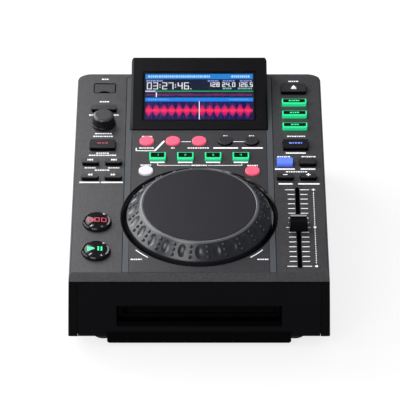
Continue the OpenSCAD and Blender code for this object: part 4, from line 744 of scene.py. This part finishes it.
# ---- Keys ----
# Caps of black ABS slide in the deck on their stems. The lit ones are clear polycarbonate, tinted
# or painted and lit from below, and signs are printed or laser-cut on top of the caps.
def lit_cap(name, tint, glow):
    """Translucent polycarbonate lit from below: a noise makes its light uneven."""
    dimmest = 0.9
    patch = 4.0  # mm across a dimmer patch
    made, tree = blank(name)
    where = add(tree, "TexCoord")
    cloud = add(tree, "TexNoise", {"Scale": 1000 / patch, "Detail": 2.0}, {"Vector": (where, "Object")})
    base = np.array(colour(tint))
    shade = add(tree, "Mix", {"data_type": "RGBA", 6: tuple(base * [dimmest, dimmest, dimmest, 1]),
                              7: tuple(base)}, {0: (cloud, "Fac")})
    face = add(tree, "BsdfPrincipled", {"IOR": 1.58, "Roughness": 0.3, "Emission Strength": glow},
               {"Base Color": (shade, 2), "Emission Color": (shade, 2)})
    add(tree, "OutputMaterial", {}, {"Surface": (face, 0)})
    return made


def cap_top(name):
    """Middle (u, v), half width and half length, and height of the top face of a key, in mm, from the
    points that lie within 0.05 mm of its highest."""
    at = in_deck(name)
    high = at[:, 2].max()
    top = at[at[:, 2] > high - 0.05]
    low, far = top[:, :2].min(0), top[:, :2].max(0)
    return (low + far) / 2, (far - low) / 2, high


def below_top(name, reach):
    """The zone of a cap that lies more than reach, in mm, under its highest point."""
    return [[("N", "LESS", cap_top(name)[2] - reach)]]


# Semi-gloss ABS: dark grey tops that catch the light; the sides are painted black as shade in their wells.
plain_keys = ("back_button", "track_prev", "track_next", "search_back", "search_forward",
              "eject_button", "tap_button", "bend_minus", "bend_plus")
dress(moulded("semi_gloss_key_abs", "#27272a", 0.36, grain=0.8, relief=0.006, gloss=0.7, depth=0.2,
              second=("#040405", 0.1), zones=below_top("back_button", 0.14)), *plain_keys)

# The same ABS on the cover of the memory socket, tinted a shade paler as painted light because it lies
# flat in the light; its sides are painted black as shade.
dress(moulded("cover_abs_painted_light_and_shade", "#303033", 0.36, grain=0.8, relief=0.006, gloss=0.7, depth=0.2,
              second=("#040405", 0.1), zones=below_top("usb_cover", 0.12)), "usb_cover")

# Smoked ABS: nearly black, so that only the lit sign stands out; below the top the sides are painted
# blacker still as shade.
dress(moulded("smoked_key_abs", "#17171c", 0.3, grain=0.6, relief=0.006, second=("#030304", 0.1),
              zones=below_top("reverse_button", 0.3)), "jog_mode_button", "reverse_button")

# The two unlit round keys: the same dark grey as the others, rounder and a little shinier, with sides
# painted black as shade.
dress(moulded("round_key_abs", "#2a2a2d", 0.34, grain=0.6, relief=0.006, second=("#040405", 0.1),
              zones=below_top("loop_half", 0.3)), "loop_half", "loop_double")

# Polished ABS: black domes with a sharp, small highlight.
dress(moulded("gloss_dome_abs", "#161517", 0.1, grain=1.5, relief=0.002, gloss=0.35),
      "cue_button", "play_button")

# Lit polycarbonate: flat, glowing caps in pink, white, blue and green, bright enough to hide their
# own shading, but too dim to light the deck.
dress(lit_cap("lit_pink_polycarbonate", "#ea5872", 0.37), "loop_auto", "loop_in", "loop_out", "slip_button")
dress(lit_cap("lit_white_polycarbonate", "#d2cfd9", 0.22), "memory_button")
dress(lit_cap("lit_blue_polycarbonate", "#5876ee", 0.36), "key_lock_button")
green_keys = ("source_1", "source_2", "source_3", "hot_cue_1", "hot_cue_2", "hot_cue_3", "hot_cue_4")
dress(lit_cap("lit_green_polycarbonate", "#1fcf86", 0.5), *green_keys)


def rounded(u, v, half_u, half_v, r, steps=4):
    """A rectangle whose corners are quarter circles of radius r."""
    outline = []
    for i, (su, sv) in enumerate(((1, 1), (-1, 1), (-1, -1), (1, -1))):
        turn = np.linspace(0, pi / 2, steps) + i * pi / 2
        middle_u, middle_v = u + su * (half_u - r), v + sv * (half_v - r)
        outline.append(np.stack([middle_u + r * np.cos(turn), middle_v + r * np.sin(turn)], 1))
    return np.concatenate(outline)


def figure_marks(number, u, v, width, height):
    """A seven-segment figure on a key, in mm, with v upwards."""
    boxes = figure(number, -width / 2, -height / 2, width, height, thick=0.24)
    return [bar(u + left, v - low, u + right, v - top) for left, top, right, low in boxes]


def on_key(name, node, marks, finish, low=ink_gap, high=0.05):
    """Marks on top of a key, from one height over it to another: their (u, v) are from its middle."""
    middle, _, height = cap_top(node)
    points, faces = prisms(marks, height + low, height + high)
    points[:, :2] += middle
    piece(name, on_plane(points, crease, deck_tilt), faces, finish, node)


# A smoked window is set into the top of each green key and leaves a green frame about it. In it
# stands a lit word on the source keys, longer from one to the next, and a figure on the others.
# Smoked acrylic: almost black, with a green tinge. Green ink: as bright as the frame.
window_up = 0.3  # how far the window lies up from the cap's middle
frame_u = 1.2
window_r = 0.6
window_top = 0.12
smoked_acrylic = moulded("smoked_green_acrylic", "#04120a", 0.22, grain=0.8, relief=0.003)
green_ink = ink("lit_green_ink", "#2bcf86", 0.5)
for i, node in enumerate(green_keys):
    numbered = node.startswith("hot")
    frame_v = 0.9 if numbered else 0.8
    _, (half_u, half_v), _ = cap_top(node)
    window = rounded(0, window_up, half_u - frame_u, half_v - frame_v, window_r)
    on_key(node + "_window", node, [window], smoked_acrylic, high=window_top)
    if numbered:
        marks = figure_marks(node[-1], 0, window_up, 1.5, 2.6)
    else:
        half_word = 3.4 + 0.6 * i
        marks = dashes(-half_word, half_word, window_up, height=1.8, gap=0.6)
    on_key(node + "_sign", node, marks, green_ink, window_top, window_top + ink_film)

# White signs on the plain keys, a little up from their middles: two arrowheads, with a bar in front
# of them for a whole track; minus and plus; and an arrowhead over a bar to eject.
arrow_w, arrow_h = 2.0, 3.2
sign_up = 0.9


def arrowheads(way, *middles):
    """Triangles that point right where way is 1, and their mirror images where it is -1."""
    heads = []
    for u in middles:
        tail, tip = u - arrow_w / 2, u + arrow_w / 2
        head = [(way * tail, -arrow_h / 2), (way * tip, 0), (way * tail, arrow_h / 2)]
        heads.append(head[::way])
    return heads


def track_end(way):
    """The upright bar in front of the arrowheads."""
    return stroke((way * 2.3, -1.3), (way * 2.3, 1.3), 0.6)


minus_bar = bar(-1.9, -0.5, 1.9, 0.5)
plain_signs = {
    "track_prev": [*arrowheads(-1, -1.1, 0.9), track_end(-1)],
    "track_next": [*arrowheads(1, -1.1, 0.9), track_end(1)],
    "search_back": arrowheads(-1, -1.0, 1.0),
    "search_forward": arrowheads(1, -1.0, 1.0),
    "bend_minus": [minus_bar],
    "bend_plus": [minus_bar, bar(-0.45, 0.51, 0.45, 2.0), bar(-0.45, -2.0, 0.45, -0.51)],
}
for node, marks in plain_signs.items():
    raised = [np.asarray(mark, float) + (0, sign_up) for mark in marks]
    on_key(node + "_sign", node, raised, white_ink)

eject_marks = [[(-2.5, -0.7), (2.5, -0.7), (0, 2.9)], bar(-2.5, -2.4, 2.5, -1.5)]
on_key("eject_sign", "eject_button", eject_marks, white_ink)

# Lit words on the two smoked keys, of red and blue ink that lets the light through: dim, but clear
# against the black cap.
red_ink = ink("dim_red_ink", "#93384a", 0.2)
on_key("reverse_sign", "reverse_button", dashes(-4.6, 4.6, 0.4, height=1.8, dash=2.0, gap=1.0),
       red_ink)
blue_ink = ink("lit_pale_blue_ink", "#6f80e0", 0.4)
on_key("jog_mode_sign", "jog_mode_button", dashes(-5.6, 5.6, 0.4, height=1.8, gap=0.7),
       blue_ink)


# The two big domes: the sign lies just over the curved cap, bent to it.
def diced(corners, cells=6):
    """A four-cornered mark cut into cells x cells small ones, so that it can bend: each new corner is
    blended from the four."""
    a, b, c, d = np.asarray(corners, float)
    s, t = np.meshgrid(np.linspace(0, 1, cells + 1), np.linspace(0, 1, cells + 1), indexing="ij")
    s, t = s[..., None], t[..., None]
    at = a * (1 - s) * (1 - t) + b * s * (1 - t) + c * s * t + d * (1 - s) * t
    quads = np.stack([at[:-1, :-1], at[1:, :-1], at[1:, 1:], at[:-1, 1:]], 2)
    return list(quads.reshape(-1, 4, 2))


def dome_sign(name, node, marks, finish):
    """Marks laid over a domed cap: each point lies under the cap's highest by dome_rise times the
    square of its distance from the middle over dome_r."""
    dome_r, dome_rise = 9.6, 1.2
    gap, film = 0.02, 0.06
    at = in_deck(node)
    above = at[at[:, 2] > 0]
    low, far = above[:, :2].min(0), above[:, :2].max(0)
    middle, high = (low + far) / 2, above[:, 2].max()
    points, faces = prisms([cell for mark in marks for cell in diced(mark)], 0.0, film)
    spread = (points[:, 0] ** 2 + points[:, 1] ** 2) / dome_r ** 2
    points[:, 2] += high - dome_rise * spread + gap
    points[:, :2] += middle
    piece(name, on_plane(points, crease, deck_tilt), faces, finish, node)


# Red ink, lit: three outlined blocks on the cue key, each of two flat and two upright strokes.
block_line, block_pitch = 0.8, 5.7
half_u, flat_v = 2.2, 2.3  # half a block's width, and the middles of its flat strokes
side_u = half_u - block_line / 2
side_v = flat_v - block_line / 2 - 0.02  # just clear of the flat strokes
cue_marks = []
for u in (-block_pitch, 0.0, block_pitch):
    cue_marks += [stroke((u - half_u, v), (u + half_u, v), block_line) for v in (-flat_v, flat_v)]
    cue_marks += [stroke((u + side, -side_v), (u + side, side_v), block_line) for side in (-side_u, side_u)]
dome_sign("cue_sign", "cue_button", cue_marks, ink("lit_red_ink", "#b8324a", 0.4))

# Green ink, brightly lit: an arrowhead with a blunt tip and two upright bars on the play key.
arrow = [(-7.3, -3.1), (-0.9, -0.05), (-0.9, 0.05), (-7.3, 3.1)]
play_marks = [arrow, bar(1.3, -2.7, 2.6, 2.7), bar(3.9, -2.7, 5.2, 2.7)]
dome_sign("play_sign", "play_button", play_marks, ink("bright_green_ink", "#2be492", 0.7))


# ---- Browse knob, pitch fader and cover of the memory socket ----
# The knob is a black ABS cap, pushed on a steel encoder. The fader's cap is soft-touch black plastic
# and runs in a black-coated steel track. The memory socket is folded from zinc-plated steel.

# Satin ABS: the knob's side is tinted near black as painted shade, for it lies in its own shadow, and its
# top keeps the paler grey.
dress(moulded("satin_black_knob_abs", "#3a3a3d", 0.3, grain=0.6, relief=0.006, gloss=0.6,
              second=("#101013", 0.3), zones=below_top("browse_knob", 1.6)), "browse_knob")

# Soft-touch paint: dull black, with a painted highlight in pale grey along the cap's far ridge, where it
# catches the light.
ridge_low, ridge_front = 8.9, 60.0
painted_ridge_highlight = [("N", "GREATER", ridge_low), ("V", "GREATER", ridge_front)]
dress(moulded("soft_touch_black", "#06060a", 0.45, grain=0.6, relief=0.01, gloss=0.1,
              second=("#9b9ca2", 0.4), zones=[painted_ridge_highlight]), "fader_cap")

# Black-coated steel: dull, so that the track hardly shows in the slot.
coated_steel = moulded("black_coated_steel", "#0a0a0b", 0.5, grain=0.8, gloss=0.1)
dress(coated_steel, "fader_track")

# Zinc-plated steel: bright, with a soft spangle.
dress(plated("zinc_plated_steel", "#b9bbbd", 0.38, grain=1.2), "usb_socket")


# ---- Front and disc slot ----
# The front is a black ABS strip that lies in the case below the lip, with a bevelled recess round
# the disc slot.

# Satin ABS: an even black face. The recess and slot, deeper than the face, are tinted blacker yet as
# painted shade.
face_back_y = -145.2
dress(moulded("satin_black_front_abs", "#050508", 0.4, grain=0.8, relief=0.008, gloss=0.04,
              second=("#020203", 0.02), zones=[[("Y", "GREATER", face_back_y)]]), "front_panel")


# ---- Rear, boards and disc drive ----
# Sockets of black moulding sit in the steel rear wall. Inside are green glass-fibre boards and a
# slot drive of black- and grey-coated steel, with a rubber roller and a plastic pickup sled.

# Glass-filled nylon: satin, a little paler than the wall round it.
dress(moulded("black_nylon_moulding", "#131315", 0.4, grain=0.6), "rear_sockets", "mains_inlet")

# Polished ABS: a glossy black rocker.
dress(moulded("gloss_rocker_abs", "#0d0d0f", 0.2, grain=0.8, relief=0.003), "power_rocker")

# Solder resist: a glassy, dark green coat on the boards.
dress(moulded("green_solder_resist", "#1d5a33", 0.3, grain=1.4, relief=0.01),
      "key_boards", "main_board", "power_board")

# The drive: the black frame, a grey-coated traverse, parts of smooth black acetal, and a dull roller.
dress(coated_steel, "drive_frame")
dress(moulded("grey_coated_steel", "#5c6064", 0.45, grain=0.8), "traverse_frame")
dress(moulded("black_acetal", "#26272a", 0.35, grain=0.8), "turntable", "pickup_sled")
dress(moulded("roller_rubber", "#0e0e0f", 0.7, grain=0.5, gloss=0.1), "load_roller")
